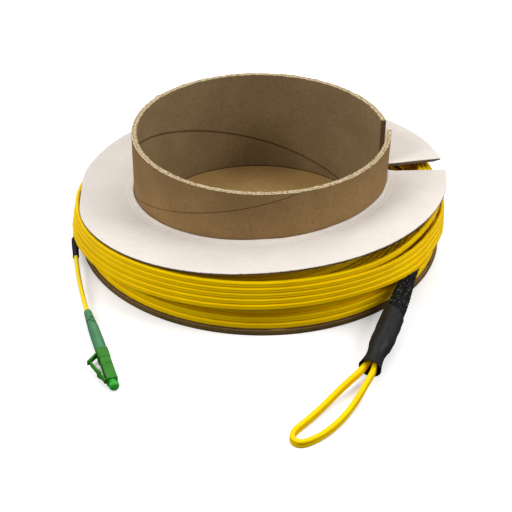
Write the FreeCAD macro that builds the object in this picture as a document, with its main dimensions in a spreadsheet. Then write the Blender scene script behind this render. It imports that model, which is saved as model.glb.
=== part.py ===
import FreeCAD, Part
import math
import os

import Sketcher
from FreeCAD import Placement, Rotation, Vector

# A fibre patch cord: flat cable wound on a board spool, one plug on a round leg at the left, and the
# other plug packed in a pulling sock with a loop at the right. Millimetres, floor at z = 0, spool axis on +Z.

DIMENSIONS = {
    # Board spool
    "tube_radius": 60.0,
    "tube_wall": 2.4,
    "tube_height": 52.8,
    "base_radius": 86.4,
    "base_card": 2.6,
    "flange_radius": 88.0,
    "flange_card": 1.6,
    "flange_level": 28.6,
    "flange_rise_right": 3.78,
    "flange_rise_front": 2.88,
    "flange_hole_gap": 0.4,
    "liner_lip": 0.8,
    "slot_azimuth": 4.9,
    "slot_root_width": 7.0,
    "slot_mouth_width": 13.0,
    "slot_mouth_shift": 2.1,
    "slit_width": 9.2,
    "slit_floor": 19.0,
    # Flat cable and its winding
    "cable_tall": 3.0,
    "cable_thick": 2.0,
    "cable_corner": 0.5,
    "coil_gap": 0.3,
    "low_coil_radius": 84.7,
    "low_coil_height": 9.4,
    "high_coil_inner": 79.3,
    "high_coil_radius": 84.4,
    "high_coil_height": 9.5,
    "band_inner": 83.5,
    "band_radius": 88.2,
    "band_height": 11.8,
    "band_x": -1.1,
    "band_y": -1.0,
    "band_level": 23.55,
    "band_rise_right": 1.86,
    "band_rise_front": 3.7,
    # Round leg and the heat-shrink sleeve over the change of section
    "leg_radius": 1.0,
    "sleeve_wall": 0.3,
    "sleeve_gap": 0.15,
    "left_sleeve_length": 17.0,
    "right_sleeve_length": 8.0,
    # Plug housings, measured along the plug from the boot joint
    "plug_length": 20.8,
    "rear_length": 6.0,
    "rear_half_width": 2.4,
    "rear_low": 2.5,
    "rear_high": 2.6,
    "rear_chamfer": 0.45,
    "nose_half": 2.25,
    "nose_chamfer": 0.25,
    "chamber_radius": 1.8,
    "chamber_end": 12.0,
    "throat_gap": 0.225,
    "throat_end": 14.0,
    "cup_radius": 1.7,
    "snap_start": 10.3,
    "snap_length": 3.0,
    "snap_low": -1.7,
    "snap_high": 0.2,
    "snap_depth": 0.25,
    # Boot, crimp ring and crimp post
    "boot_length": 29.7,
    "boot_front_radius": 2.55,
    "boot_waist": 16.0,
    "boot_waist_radius": 2.45,
    "boot_tail_radius": 1.65,
    "boot_gap": 0.15,
    "boot_slot_start": 19.3,
    "boot_slot_pitch": 1.7,
    "boot_slot_width": 0.7,
    "boot_spine": 0.45,
    "ring_length": 9.2,
    "ring_setback": 1.0,
    "ring_wall": 0.45,
    "ring_gap": 0.05,
    "post_stem": 5.0,
    "post_collar_end": 4.2,
    "post_bore": 0.45,
    "back_wall": 0.25,
    "running_gap": 0.05,
    # Spring, ferrule holder, ferrule and dust cap
    "spring_gap": 0.38,
    "spring_wire_radius": 0.17,
    "spring_turns": 4.0,
    "spring_seat_gap": 0.03,
    "holder_flange_start": 9.4,
    "holder_gap": 0.2,
    "holder_stop_gap": 0.1,
    "holder_stub_start": 6.2,
    "holder_stub_radius": 0.8,
    "fibre_bore": 0.3,
    "ferrule_radius": 0.625,
    "ferrule_seat": 9.0,
    "ferrule_proud": 2.1,
    "ferrule_chamfer": 0.25,
    "ferrule_face_angle": 8.0,
    "ferrule_gap": 0.015,
    "cap_gap": 0.1,
    "cap_plug_depth": 4.6,
    "cap_neck": 0.9,
    "cap_neck_radius": 1.75,
    "cap_length": 3.4,
    "cap_radius": 2.15,
    "cap_round": 1.3,
    "cap_bore_depth": 7.1,
    "cap_face_gap": 0.15,
    # Latch and trigger, each a bar from a round root
    "root_gap": 0.1,
    "arm_thick": 0.95,
    "latch_root_radius": 0.6,
    "latch_root_setback": 1.2,
    "latch_root_height": 2.76,
    "latch_length": 13.3,
    "latch_half_width": 1.1,
    "latch_slope": 14.3,
    "latch_slope_packed": 0.2,
    "ear_start": 4.2,
    "ear_length": 2.2,
    "ear_half_width": 1.9,
    "ear_rise": 0.35,
    "trigger_root_radius": 0.55,
    "trigger_root_start": 2.0,
    "trigger_root_height": 3.0,
    "trigger_length": 5.9,
    "trigger_half_width": 1.2,
    "trigger_slope": 46.0,
    "trigger_slope_packed": 10.6,
    "trigger_lip": 0.9,
    # Where the left plug lies, on its side with the latch to the left
    "left_plug_x": -66.16,
    "left_plug_y": -101.75,
    "left_plug_heading": 18.26,
    "floor_gap": 0.02,
    # Where the left sleeve lies
    "left_sleeve_x": -87.95,
    "left_sleeve_y": -16.85,
    "left_sleeve_z": 5.2,
    "left_sleeve_heading": 9.1,
    "left_sleeve_fall": 0.95,
    # Pulling sock, measured up from its open mouth
    "mouth_x": 45.7,
    "mouth_y": -114.1,
    "mouth_z": 5.0,
    "sock_heading": 20.69,
    "sock_rise": 7.75,
    "sock_wall": 0.35,
    "sock_start": 16.0,
    "sock_radius": 4.5,
    "sock_full_end": 37.0,
    "sock_waist": 53.0,
    "sock_waist_radius": 3.2,
    "sock_tail_start": 64.0,
    "sock_tail_radius": 2.55,
    "sock_length": 70.0,
    "shrink_wall": 0.42,
    "shrink_gap": 0.05,
    "shrink_length": 34.0,
    "shrink_mouth_radius": 4.95,
    "shrink_pinch": 4.5,
    "shrink_neck": 8.5,
    "shrink_neck_radius": 3.6,
    "shrink_shoulder": 11.0,
    "shrink_shoulder_radius": 3.8,
    "packed_cap_depth": 10.2,
    "packed_drop": 0.62,
    "packed_pitch": 0.9,
    "packed_sleeve_gap": 0.8,
}

# Points that the cord is laid through, chosen by hand.
LEFT_LEAD_ROUTE = [
    (-86.78, -24.15, 5.08),
    (-87.95, -16.85, 5.2),
    (-88.6, -6.5, 5.05),
    (-87.7, 6.0, 4.75),
    (-85.1, 17.8, 4.45),
    (-80.9, 28.6, 4.25),
    (-75.2, 38.4, 4.2),
]
LEFT_LEG_ROUTE = [
    (-86.52, -25.74, 5.05),
    (-85.1, -34.6, 4.9),
    (-83.2, -44.4, 4.35),
    (-80.8, -54.7, 3.6),
    (-78.5, -63.4, 3.0),
    (-76.81, -69.46, 2.57),
    (-67.91, -96.43, 2.57),
]
RIGHT_LEAD_ROUTE = [
    (69.89, -50.05, 14.25),
    (71.96, -44.58, 15.12),
    (74.6, -33.5, 14.3),
    (77.2, -22.5, 13.8),
    (79.1, -11.2, 13.65),
    (80.0, 0.5, 13.6),
    (79.4, 12.5, 13.6),
]
PULL_LOOP_ROUTE = [
    (47.07, -107.19, 5.95),
    (43.8, -113.9, 4.9),
    (34.4, -124.2, 3.4),
    (23.9, -138.4, 2.2),
    (17.4, -145.8, 1.7),
    (13.8, -150.0, 1.55),
    (12.6, -154.4, 1.55),
    (15.6, -157.5, 1.55),
    (20.6, -155.4, 1.55),
    (27.3, -149.9, 1.55),
    (34.0, -141.3, 1.8),
    (39.4, -132.0, 2.6),
    (43.6, -123.2, 3.6),
    (47.5, -115.4, 4.9),
    (49.23, -108.01, 5.95),
]
ARC_SHARE = 0.45


class Size:
    """A length or angle together with the sheet expression that gives it."""

    def __init__(self, text, value):
        self.text = text
        self.value = value

    def combine(self, sign, other, value):
        return Size(f"({self.text} {sign} {other.text})", value)

    def __add__(self, other):
        other = as_size(other)
        return self.combine("+", other, self.value + other.value)

    def __sub__(self, other):
        other = as_size(other)
        return self.combine("-", other, self.value - other.value)

    def __mul__(self, other):
        other = as_size(other)
        return self.combine("*", other, self.value * other.value)

    def __neg__(self):
        return Size(f"(0 - {self.text})", -self.value)


def as_size(number):
    """Any plain number as a Size."""
    if isinstance(number, Size):
        return number
    return Size(str(number), float(number))


class Dims:
    """The driving dimensions by name."""


doc = FreeCAD.newDocument("spooled_patch_cord")
sheet = doc.addObject("Spreadsheet::Sheet", "dims")
d = Dims()
for row, (alias, value) in enumerate(DIMENSIONS.items(), start=1):
    sheet.set(f"A{row}", alias)
    sheet.set(f"B{row}", str(value))
    sheet.setAlias(f"B{row}", alias)
    setattr(d, alias, Size(f"dims.{alias}", value))
doc.recompute()

ZERO = as_size(0)
pieces = []


# Sketches and features

def new_body(label):
    body = doc.addObject("PartDesign::Body", label)
    body.Label = label
    return body


def finish(piece, placement=None):
    """Keep a piece for writing, in its place."""
    if placement is not None:
        piece.Placement = placement
    pieces.append(piece)
    return piece


def sketch_on(body, plane, shift=ZERO):
    """A sketch on one of the body's own planes, moved along that plane's normal."""
    sketch = body.newObject("Sketcher::SketchObject", f"{body.Label}_sketch")
    support = next(item for item in body.Origin.OriginFeatures if item.Role == plane)
    sketch.AttachmentSupport = (support, [""])
    sketch.MapMode = "FlatFace"
    if shift is not ZERO:
        sketch.setExpression("AttachmentOffset.Base.z", shift.text)
        sketch.AttachmentOffset = Placement(Vector(0, 0, shift.value), Rotation())
    return sketch


def bind_point(sketch, geometry, end, point):
    """Hold one end of a sketch line, or a circle's centre, at a point given as sizes."""
    for kind, axis, size in (("DistanceX", -2, point[0]), ("DistanceY", -1, point[1])):
        if size.text == "0":
            sketch.addConstraint(Sketcher.Constraint("PointOnObject", geometry, end, axis))
        else:
            index = sketch.addConstraint(Sketcher.Constraint(kind, -1, 1, geometry, end, size.value))
            sketch.setExpression(f"Constraints[{index}]", size.text)


def outline(sketch, corners):
    """A closed outline of straight lines through corners given as sizes."""
    corners = [(as_size(across), as_size(up)) for across, up in corners]
    first = sketch.GeometryCount
    count = len(corners)
    for index, corner in enumerate(corners):
        following = corners[(index + 1) % count]
        start = Vector(corner[0].value, corner[1].value, 0)
        end = Vector(following[0].value, following[1].value, 0)
        sketch.addGeometry(Part.LineSegment(start, end), False)
    for index, corner in enumerate(corners):
        line = first + index
        following = first + (index + 1) % count
        sketch.addConstraint(Sketcher.Constraint("Coincident", line, 2, following, 1))
        bind_point(sketch, line, 1, corner)


def rectangle(sketch, left, right, low, high):
    outline(sketch, [(left, low), (right, low), (right, high), (left, high)])


def circle(sketch, across, up, radius):
    centre = Vector(as_size(across).value, as_size(up).value, 0)
    index = sketch.addGeometry(Part.Circle(centre, Vector(0, 0, 1), radius.value), False)
    bind_point(sketch, index, 3, (as_size(across), as_size(up)))
    bound = sketch.addConstraint(Sketcher.Constraint("Radius", index, radius.value))
    sketch.setExpression(f"Constraints[{bound}]", radius.text)


def pad(body, sketch, length, symmetric=False):
    feature = body.newObject("PartDesign::Pad", f"{body.Label}_pad")
    feature.Profile = sketch
    feature.setExpression("Length", length.text)
    if symmetric:
        feature.SideType = "Symmetric"
    doc.recompute()
    return feature


def pocket(body, sketch, length, symmetric=False):
    before = body.Shape.Volume
    feature = body.newObject("PartDesign::Pocket", f"{body.Label}_pocket")
    feature.Profile = sketch
    feature.setExpression("Length", length.text)
    if symmetric:
        feature.SideType = "Symmetric"
    doc.recompute()
    check_cut(body, before)
    return feature


def revolve(body, sketch, axis):
    feature = body.newObject("PartDesign::Revolution", f"{body.Label}_revolution")
    feature.Profile = sketch
    feature.ReferenceAxis = (sketch, [axis])
    feature.Angle = 360
    doc.recompute()
    return feature


def groove(body, sketch, axis):
    before = body.Shape.Volume
    feature = body.newObject("PartDesign::Groove", f"{body.Label}_groove")
    feature.Profile = sketch
    feature.ReferenceAxis = (sketch, [axis])
    feature.Angle = 360
    doc.recompute()
    check_cut(body, before)
    return feature


def check_cut(body, before):
    if body.Shape.Volume >= before:
        raise RuntimeError(f"a cut in {body.Label} removed nothing")


def edges_where(body, wanted):
    """Names of the edges of the body's last feature for which wanted(edge) holds."""
    edges = body.Tip.Shape.Edges
    return [f"Edge{number}" for number, edge in enumerate(edges, start=1) if wanted(edge)]


def dress(body, kind, names, size_name, size):
    """A fillet or chamfer on named edges of the body's last feature."""
    base = body.Tip
    feature = body.newObject(f"PartDesign::{kind}", f"{body.Label}_{kind.lower()}")
    feature.Base = (base, names)
    feature.setExpression(size_name, size.text)
    doc.recompute()
    return feature


def along_x(edge):
    """True for a straight edge that runs along the piece's X axis."""
    box = edge.BoundBox
    return box.XLength > 1 and box.YLength < 1e-6 and box.ZLength < 1e-6


def turned(label, corners):
    """A piece turned about its X axis from an outline of (along, radius) corners."""
    body = new_body(label)
    sketch = sketch_on(body, "XY_Plane")
    outline(sketch, corners)
    revolve(body, sketch, "H_Axis")
    return body


def frame_at(origin, forward, up):
    """Placement with local X along forward and local Z as near as it goes to up."""
    forward = Vector(forward).normalize()
    top = up - forward * up.dot(forward)
    top.normalize()
    side = top.cross(forward)
    return Placement(origin, Rotation(forward, side, top, "XYZ"))


def heading(degrees, fall=0.0):
    """Direction on the floor, turned from the viewer's side (-Y) towards +X, falling by some degrees."""
    level = math.cos(math.radians(fall))
    turn = math.radians(degrees)
    return Vector(math.sin(turn) * level, -math.cos(turn) * level, -math.sin(math.radians(fall)))


def leaning(rise_front, rise_right):
    """Turn that lifts the viewer's side and the right side by the degrees given."""
    front = Rotation(Vector(1, 0, 0), -rise_front.value)
    return front.multiply(Rotation(Vector(0, 1, 0), -rise_right.value))


UP = Vector(0, 0, 1)


# Board spool: tube, base disc and the flange that leans with the winding

tube_top = d.base_card + d.tube_height
tube_turn = Placement(Vector(), Rotation(UP, d.slot_azimuth.value))

tube = new_body("core_tube")
tube_ring = sketch_on(tube, "XY_Plane", d.base_card)
circle(tube_ring, 0, 0, d.tube_radius)
circle(tube_ring, 0, 0, d.tube_radius - d.tube_wall)
pad(tube, tube_ring, d.tube_height)
slit = sketch_on(tube, "XY_Plane", tube_top)
rectangle(
    slit, d.tube_radius - d.tube_wall * 2, d.tube_radius + d.tube_wall,
    -d.slit_width * 0.5, d.slit_width * 0.5,
)
pocket(tube, slit, tube_top - d.slit_floor)
finish(tube, tube_turn)

base = doc.addObject("Part::Cylinder", "base_flange")
base.Label = "base_flange"
base.setExpression("Radius", d.base_radius.text)
base.setExpression("Height", d.base_card.text)
finish(base)

flange_lean = leaning(d.flange_rise_front, d.flange_rise_right)
flange_place = Placement(Vector(0, 0, d.flange_level.value), flange_lean)
flange_hole = d.tube_radius + d.flange_hole_gap

flange = new_body("top_flange")
flange_ring = sketch_on(flange, "XY_Plane", -d.flange_card)
circle(flange_ring, 0, 0, d.flange_radius)
circle(flange_ring, 0, 0, flange_hole)
pad(flange, flange_ring, d.flange_card)
lip = sketch_on(flange, "XZ_Plane")
outline(lip, [(flange_hole, 0), (flange_hole + d.liner_lip, 0), (flange_hole, d.liner_lip)])
revolve(flange, lip, "V_Axis")
slot = sketch_on(flange, "XY_Plane", d.liner_lip)
slot_start = d.tube_radius - d.tube_wall
slot_end = d.flange_radius + d.flange_card
outline(slot, [
    (slot_start, -d.slot_root_width * 0.5), (slot_end, -d.slot_mouth_width * 0.5 - d.slot_mouth_shift),
    (slot_end, d.slot_mouth_width * 0.5 - d.slot_mouth_shift), (slot_start, d.slot_root_width * 0.5),
])
pocket(flange, slot, d.liner_lip + d.flange_card * 2)
finish(flange, flange_place.multiply(tube_turn))


# Winding: level turns on the base disc, turns that lean with the flange, and the slack outer band, one solid

low_coil = new_body("low_coil")
low_section = sketch_on(low_coil, "XZ_Plane")
rectangle(
    low_section, d.tube_radius + d.coil_gap, d.low_coil_radius,
    d.base_card, d.base_card + d.low_coil_height,
)
revolve(low_coil, low_section, "V_Axis")

coil_top = -(d.flange_card + d.coil_gap)
high_coil = new_body("high_coil")
high_section = sketch_on(high_coil, "XZ_Plane")
rectangle(
    high_section, d.high_coil_inner, d.high_coil_radius, coil_top - d.high_coil_height, coil_top,
)
revolve(high_coil, high_section, "V_Axis")
high_coil.Placement = flange_place

band = new_body("outer_band")
band_section = sketch_on(band, "XZ_Plane")
rectangle(band_section, d.band_inner, d.band_radius, -d.band_height, 0)
revolve(band, band_section, "V_Axis")
band_lean = leaning(d.band_rise_front, d.band_rise_right)
band.Placement = Placement(Vector(d.band_x.value, d.band_y.value, d.band_level.value), band_lean)

winding = doc.addObject("Part::MultiFuse", "cable_winding")
winding.Label = "cable_winding"
winding.Shapes = [low_coil, high_coil, band]
doc.recompute()
finish(winding)


# Cord stretches: straight runs joined by tangent arcs, swept with the flat or the round section

def route_wire(label, route):
    """Path through a route's points, each corner an arc as large as its two runs allow."""
    points = [Vector(*point) for point in route]
    edges = []
    radii = []
    start = points[0]
    for before, corner, after in zip(points, points[1:], points[2:]):
        back = before - corner
        ahead = after - corner
        reach = ARC_SHARE * min(back.Length, ahead.Length)
        half_turn = (math.pi - back.getAngle(ahead)) / 2
        radii.append(reach / math.tan(half_turn))
        back.normalize()
        ahead.normalize()
        arc_start = corner + back * reach
        arc_end = corner + ahead * reach
        inward = (back + ahead).normalize()
        middle = corner + inward * (radii[-1] / math.cos(half_turn) - radii[-1])
        edges.append(Part.LineSegment(start, arc_start).toShape())
        edges.append(Part.Arc(arc_start, middle, arc_end).toShape())
        start = arc_end
    edges.append(Part.LineSegment(start, points[-1]).toShape())
    wire = Part.Wire(edges)
    print(f"{label}: length {wire.Length:.1f} mm, radii", " ".join(f"{radius:.1f}" for radius in radii))
    return wire


def flat_section(start, direction):
    """The flat cable's section, standing on its narrow side, square to its path."""
    side = UP.cross(direction).normalize()
    top = direction.cross(side)
    half_tall = d.cable_tall.value / 2
    half_thick = d.cable_thick.value / 2
    corner = d.cable_corner.value
    ring = [
        (half_thick, half_tall - corner), (half_thick - corner, half_tall),
        (corner - half_thick, half_tall), (-half_thick, half_tall - corner),
        (-half_thick, corner - half_tall), (corner - half_thick, -half_tall),
        (half_thick - corner, -half_tall), (half_thick, corner - half_tall),
    ]
    points = [start + side * across + top * along for across, along in ring]
    return Part.makePolygon(points + points[:1])


def round_section(start, direction):
    return Part.Wire([Part.makeCircle(d.leg_radius.value, start, direction)])


def cord(label, route, section):
    """A stretch of cord swept along its route, its volume compared with section times length."""
    wire = route_wire(label, route)
    start = Vector(*route[0])
    profile = section(start, (Vector(*route[1]) - start).normalize())
    if section is round_section:
        solid = wire.makePipe(Part.Face(profile))
    else:
        sweep = Part.BRepOffsetAPI.MakePipeShell(wire)
        sweep.setBiNormalMode(UP)
        sweep.add(profile)
        sweep.build()
        sweep.makeSolid()
        solid = sweep.shape()
    expected = Part.Face(profile).Area * wire.Length
    print(f"{label}: volume {solid.Volume:.1f}, section times length {expected:.1f}")
    piece = doc.addObject("Part::Feature", label)
    piece.Label = label
    piece.Shape = solid
    return finish(piece, Placement())


cord("left_lead", LEFT_LEAD_ROUTE, flat_section)
cord("left_leg", LEFT_LEG_ROUTE, round_section)
cord("right_lead", RIGHT_LEAD_ROUTE, flat_section)
cord("pull_loop", PULL_LOOP_ROUTE, flat_section)


# Heat-shrink sleeve: oval over the flat cable at its start, round over the leg at its end

def ellipse(sketch, half_wide, half_tall):
    """Ellipse with its long axis up the sketch, bound by its two half sizes."""
    shape = Part.Ellipse(Vector(0, half_tall.value, 0), Vector(half_wide.value, 0, 0), Vector())
    index = sketch.addGeometry(shape, False)
    sketch.exposeInternalGeometry(index)
    sketch.addConstraint(Sketcher.Constraint("Coincident", index, 3, -1, 1))
    long_axis = index + 1
    short_axis = index + 2
    sketch.addConstraint(Sketcher.Constraint("Vertical", long_axis))
    for axis, size in ((long_axis, half_tall * 2), (short_axis, half_wide * 2)):
        bound = sketch.addConstraint(Sketcher.Constraint("Distance", axis, 1, axis, 2, size.value))
        sketch.setExpression(f"Constraints[{bound}]", size.text)


def sleeve_loft(body, kind, length, oval_wide, oval_tall, end_radius):
    oval = sketch_on(body, "YZ_Plane")
    ellipse(oval, oval_wide, oval_tall)
    middle = sketch_on(body, "YZ_Plane", length * 0.5)
    ellipse(middle, oval_wide, oval_tall)
    end = sketch_on(body, "YZ_Plane", length)
    circle(end, 0, 0, end_radius)
    doc.recompute()
    feature = body.newObject(f"PartDesign::{kind}", f"{body.Label}_loft")
    feature.Profile = oval
    feature.Sections = [middle, end]
    feature.Ruled = True
    doc.recompute()


def sleeve(label, length, placement):
    body = new_body(label)
    inner_wide = d.cable_thick * 0.5 + d.sleeve_gap * 2
    inner_tall = d.cable_tall * 0.5 + d.sleeve_gap * 1.7
    inner_end = d.leg_radius + d.sleeve_gap
    sleeve_loft(
        body, "AdditiveLoft", length,
        inner_wide + d.sleeve_wall, inner_tall + d.sleeve_wall, inner_end + d.sleeve_wall,
    )
    before = body.Shape.Volume
    sleeve_loft(body, "SubtractiveLoft", length, inner_wide, inner_tall, inner_end)
    check_cut(body, before)
    return finish(body, placement)


# Plug: every piece in the plug's own frame, X towards the nose, Z towards the latch

def plug_boot(name):
    bore = d.leg_radius + d.boot_gap
    ring_outside = d.leg_radius + d.ring_gap + d.ring_wall
    cup = ring_outside + d.boot_gap
    cup_end = -(d.ring_setback + d.ring_length + d.boot_gap)
    boot = turned(name, [
        (0, cup), (0, d.boot_front_radius), (-d.boot_waist, d.boot_waist_radius),
        (-d.boot_length, d.boot_tail_radius), (-d.boot_length, bore), (cup_end, bore), (cup_end, cup),
    ])
    slots = sketch_on(boot, "XZ_Plane")
    for index in range(3):
        start = -(d.boot_slot_start + d.boot_slot_pitch * index)
        if index % 2:
            low, high = -d.boot_front_radius, -d.boot_spine
        else:
            low, high = d.boot_spine, d.boot_front_radius
        rectangle(slots, start - d.boot_slot_width, start, low, high)
    pocket(boot, slots, d.boot_front_radius * 3, symmetric=True)
    return boot


def plug_crimp_ring(name):
    inside = d.leg_radius + d.ring_gap
    back = -(d.ring_setback + d.ring_length)
    return turned(name, [
        (back, inside), (-d.ring_setback, inside),
        (-d.ring_setback, inside + d.ring_wall), (back, inside + d.ring_wall),
    ])


def plug_crimp_post(name):
    collar_start = d.back_wall + d.running_gap
    collar = d.chamber_radius - d.running_gap
    return turned(name, [
        (-d.post_stem, d.post_bore), (d.post_collar_end, d.post_bore), (d.post_collar_end, collar),
        (collar_start, collar), (collar_start, d.leg_radius), (-d.post_stem, d.leg_radius),
    ])


def plug_rear_housing(name):
    body = new_body(name)
    side = sketch_on(body, "XZ_Plane")
    rectangle(side, 0, d.rear_length, -d.rear_low, d.rear_high)
    pad(body, side, d.rear_half_width * 2, symmetric=True)
    dress(body, "Chamfer", edges_where(body, along_x), "Size", d.rear_chamfer)
    hollow = sketch_on(body, "XY_Plane")
    stem_hole = d.leg_radius + d.running_gap
    outline(hollow, [
        (0, 0), (d.rear_length, 0), (d.rear_length, d.chamber_radius),
        (d.back_wall, d.chamber_radius), (d.back_wall, stem_hole), (0, stem_hole),
    ])
    groove(body, hollow, "H_Axis")
    seat = sketch_on(body, "XZ_Plane")
    circle(seat, d.trigger_root_start, d.trigger_root_height, d.trigger_root_radius + d.root_gap)
    pocket(body, seat, d.rear_half_width * 3, symmetric=True)
    return body


def plug_front_housing(name):
    body = new_body(name)
    side = sketch_on(body, "XZ_Plane")
    rectangle(side, d.rear_length, d.plug_length, -d.nose_half, d.nose_half)
    pad(body, side, d.nose_half * 2, symmetric=True)
    dress(body, "Chamfer", edges_where(body, along_x), "Size", d.nose_chamfer)
    throat = d.ferrule_radius + d.throat_gap
    hollow = sketch_on(body, "XY_Plane")
    outline(hollow, [
        (d.rear_length, 0), (d.plug_length, 0), (d.plug_length, d.cup_radius),
        (d.throat_end, d.cup_radius), (d.throat_end, throat),
        (d.chamber_end, throat), (d.chamber_end, d.chamber_radius),
        (d.rear_length, d.chamber_radius),
    ])
    groove(body, hollow, "H_Axis")
    seat = sketch_on(body, "XZ_Plane")
    latch_root = d.plug_length - d.latch_root_setback
    circle(seat, latch_root, d.latch_root_height, d.latch_root_radius + d.root_gap)
    pocket(body, seat, d.nose_half * 3, symmetric=True)
    snap_end = d.snap_start + d.snap_length
    far_snap = sketch_on(body, "XZ_Plane", -d.nose_half)
    rectangle(far_snap, d.snap_start, snap_end, d.snap_low, d.snap_high)
    pocket(body, far_snap, d.snap_depth * 2, symmetric=True)
    near_snap = sketch_on(body, "XZ_Plane", d.nose_half)
    rectangle(near_snap, d.snap_start, snap_end, d.snap_low, d.snap_high)
    pocket(body, near_snap, d.snap_depth * 2, symmetric=True)
    return body


def plug_ferrule_holder(name):
    flange_end = d.chamber_end - d.holder_stop_gap
    seat = d.ferrule_radius + d.ferrule_gap
    flange = d.chamber_radius - d.holder_gap
    return turned(name, [
        (d.holder_stub_start, d.fibre_bore), (d.ferrule_seat, d.fibre_bore), (d.ferrule_seat, seat),
        (flange_end, seat), (flange_end, flange),
        (d.holder_flange_start, flange), (d.holder_flange_start, d.holder_stub_radius),
        (d.holder_stub_start, d.holder_stub_radius),
    ])


def plug_ferrule(name):
    tip = d.plug_length + d.ferrule_proud
    body = turned(name, [
        (d.ferrule_seat, 0), (tip, 0), (tip, d.ferrule_radius - d.ferrule_chamfer),
        (tip - d.ferrule_chamfer, d.ferrule_radius), (d.ferrule_seat, d.ferrule_radius),
    ])
    slant = Size(f"tan({d.ferrule_face_angle.text})", math.tan(math.radians(d.ferrule_face_angle.value)))
    face = sketch_on(body, "XZ_Plane")
    outline(face, [
        (tip, -d.ferrule_radius), (tip + d.ferrule_radius, -d.ferrule_radius),
        (tip + d.ferrule_radius, d.ferrule_radius), (tip - d.ferrule_radius * slant * 2, d.ferrule_radius),
    ])
    pocket(body, face, d.ferrule_radius * 4, symmetric=True)
    return body


def plug_spring(name):
    seat_gap = d.spring_seat_gap.value
    wire_radius = d.spring_wire_radius.value
    start = d.post_collar_end.value + seat_gap + wire_radius
    end = d.holder_flange_start.value - seat_gap - wire_radius
    radius = d.chamber_radius.value - wire_radius - d.spring_gap.value
    pitch = (end - start) / d.spring_turns.value
    helix = Part.makeHelix(pitch, end - start, radius)
    angles = [math.pi * side / 3 for side in range(6)]
    corners = [
        Vector(radius + wire_radius * math.cos(angle), 0, wire_radius * math.sin(angle)) for angle in angles
    ]
    section = Part.makePolygon(corners + corners[:1])
    coil = Part.Wire(helix.Edges).makePipeShell([section], True, True)
    laid_along = Placement(Vector(start, 0, 0), Rotation(Vector(0, 1, 0), 90))
    piece = doc.addObject("Part::Feature", name)
    piece.Label = name
    piece.Shape = coil.transformGeometry(laid_along.toMatrix())
    return piece


def plug_dust_cap(name):
    plug_end = d.plug_length - d.cap_plug_depth
    head = d.plug_length + d.cap_face_gap
    bore = d.ferrule_radius + d.cap_gap
    bore_end = plug_end + d.cap_bore_depth
    end = d.plug_length + d.cap_length
    body = turned(name, [
        (plug_end, bore), (bore_end, bore), (bore_end, 0), (end, 0), (end, d.cap_radius),
        (head + d.cap_neck, d.cap_radius), (head + d.cap_neck, d.cap_neck_radius),
        (head, d.cap_neck_radius), (head, d.cup_radius - d.cap_gap), (plug_end, d.cup_radius - d.cap_gap),
    ])
    rim = edges_where(body, lambda edge: edge.BoundBox.XLength < 1e-6 and edge.BoundBox.XMin > end.value - 1e-6)
    dress(body, "Fillet", rim, "Radius", d.cap_round)
    return body


def plug_latch(name):
    body = new_body(name)
    half = d.arm_thick * 0.5
    root = sketch_on(body, "XZ_Plane")
    circle(root, 0, 0, d.latch_root_radius)
    pad(body, root, d.latch_half_width * 2, symmetric=True)
    arm = sketch_on(body, "XZ_Plane")
    rectangle(arm, -d.latch_length, 0, -half, half)
    pad(body, arm, d.latch_half_width * 2, symmetric=True)
    ears = sketch_on(body, "XZ_Plane")
    ear_end = -(d.ear_start + d.ear_length)
    outline(ears, [
        (-d.ear_start, -half), (-d.ear_start, half), (ear_end, half + d.ear_rise), (ear_end, -half),
    ])
    pad(body, ears, d.ear_half_width * 2, symmetric=True)
    return body


def plug_trigger(name):
    body = new_body(name)
    half = d.arm_thick * 0.5
    root = sketch_on(body, "XZ_Plane")
    circle(root, 0, 0, d.trigger_root_radius)
    pad(body, root, d.trigger_half_width * 2, symmetric=True)
    arm = sketch_on(body, "XZ_Plane")
    outline(arm, [
        (0, -half), (d.trigger_length - d.trigger_lip, -half), (d.trigger_length, ZERO),
        (d.trigger_length, half), (0, half),
    ])
    pad(body, arm, d.trigger_half_width * 2, symmetric=True)
    return body


PLUG_PIECES = {
    "boot": plug_boot,
    "crimp_ring": plug_crimp_ring,
    "crimp_post": plug_crimp_post,
    "rear_housing": plug_rear_housing,
    "front_housing": plug_front_housing,
    "ferrule_holder": plug_ferrule_holder,
    "ferrule": plug_ferrule,
    "spring": plug_spring,
    "dust_cap": plug_dust_cap,
}


def plug(side, placement, latch_slope, trigger_slope):
    """All pieces of one plug in place, its latch and trigger at the slopes given in degrees."""
    for piece, build in PLUG_PIECES.items():
        finish(build(f"{side}_plug_{piece}"), placement)
    latch_root = Vector(d.plug_length.value - d.latch_root_setback.value, 0, d.latch_root_height.value)
    trigger_root = Vector(d.trigger_root_start.value, 0, d.trigger_root_height.value)
    across = Vector(0, 1, 0)
    latch_place = placement.multiply(Placement(latch_root, Rotation(across, latch_slope.value)))
    trigger_place = placement.multiply(Placement(trigger_root, Rotation(across, -trigger_slope.value)))
    finish(plug_latch(f"{side}_plug_latch"), latch_place)
    finish(plug_trigger(f"{side}_plug_trigger"), trigger_place)


# Left end: the plug lies on its side on the floor, its latch to the left

left_forward = heading(d.left_plug_heading.value)
left_latch_side = left_forward.cross(UP)
left_origin = Vector(d.left_plug_x.value, d.left_plug_y.value, d.boot_front_radius.value + d.floor_gap.value)
left_place = frame_at(left_origin, left_forward, left_latch_side)
plug("left", left_place, d.latch_slope, d.trigger_slope)

left_sleeve_origin = Vector(d.left_sleeve_x.value, d.left_sleeve_y.value, d.left_sleeve_z.value)
left_sleeve_forward = heading(d.left_sleeve_heading.value, d.left_sleeve_fall.value)
sleeve("left_sleeve", d.left_sleeve_length, frame_at(left_sleeve_origin, left_sleeve_forward, UP))


# Right end: sock and shrink sleeve round the packed plug, X running up from the open mouth

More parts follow.
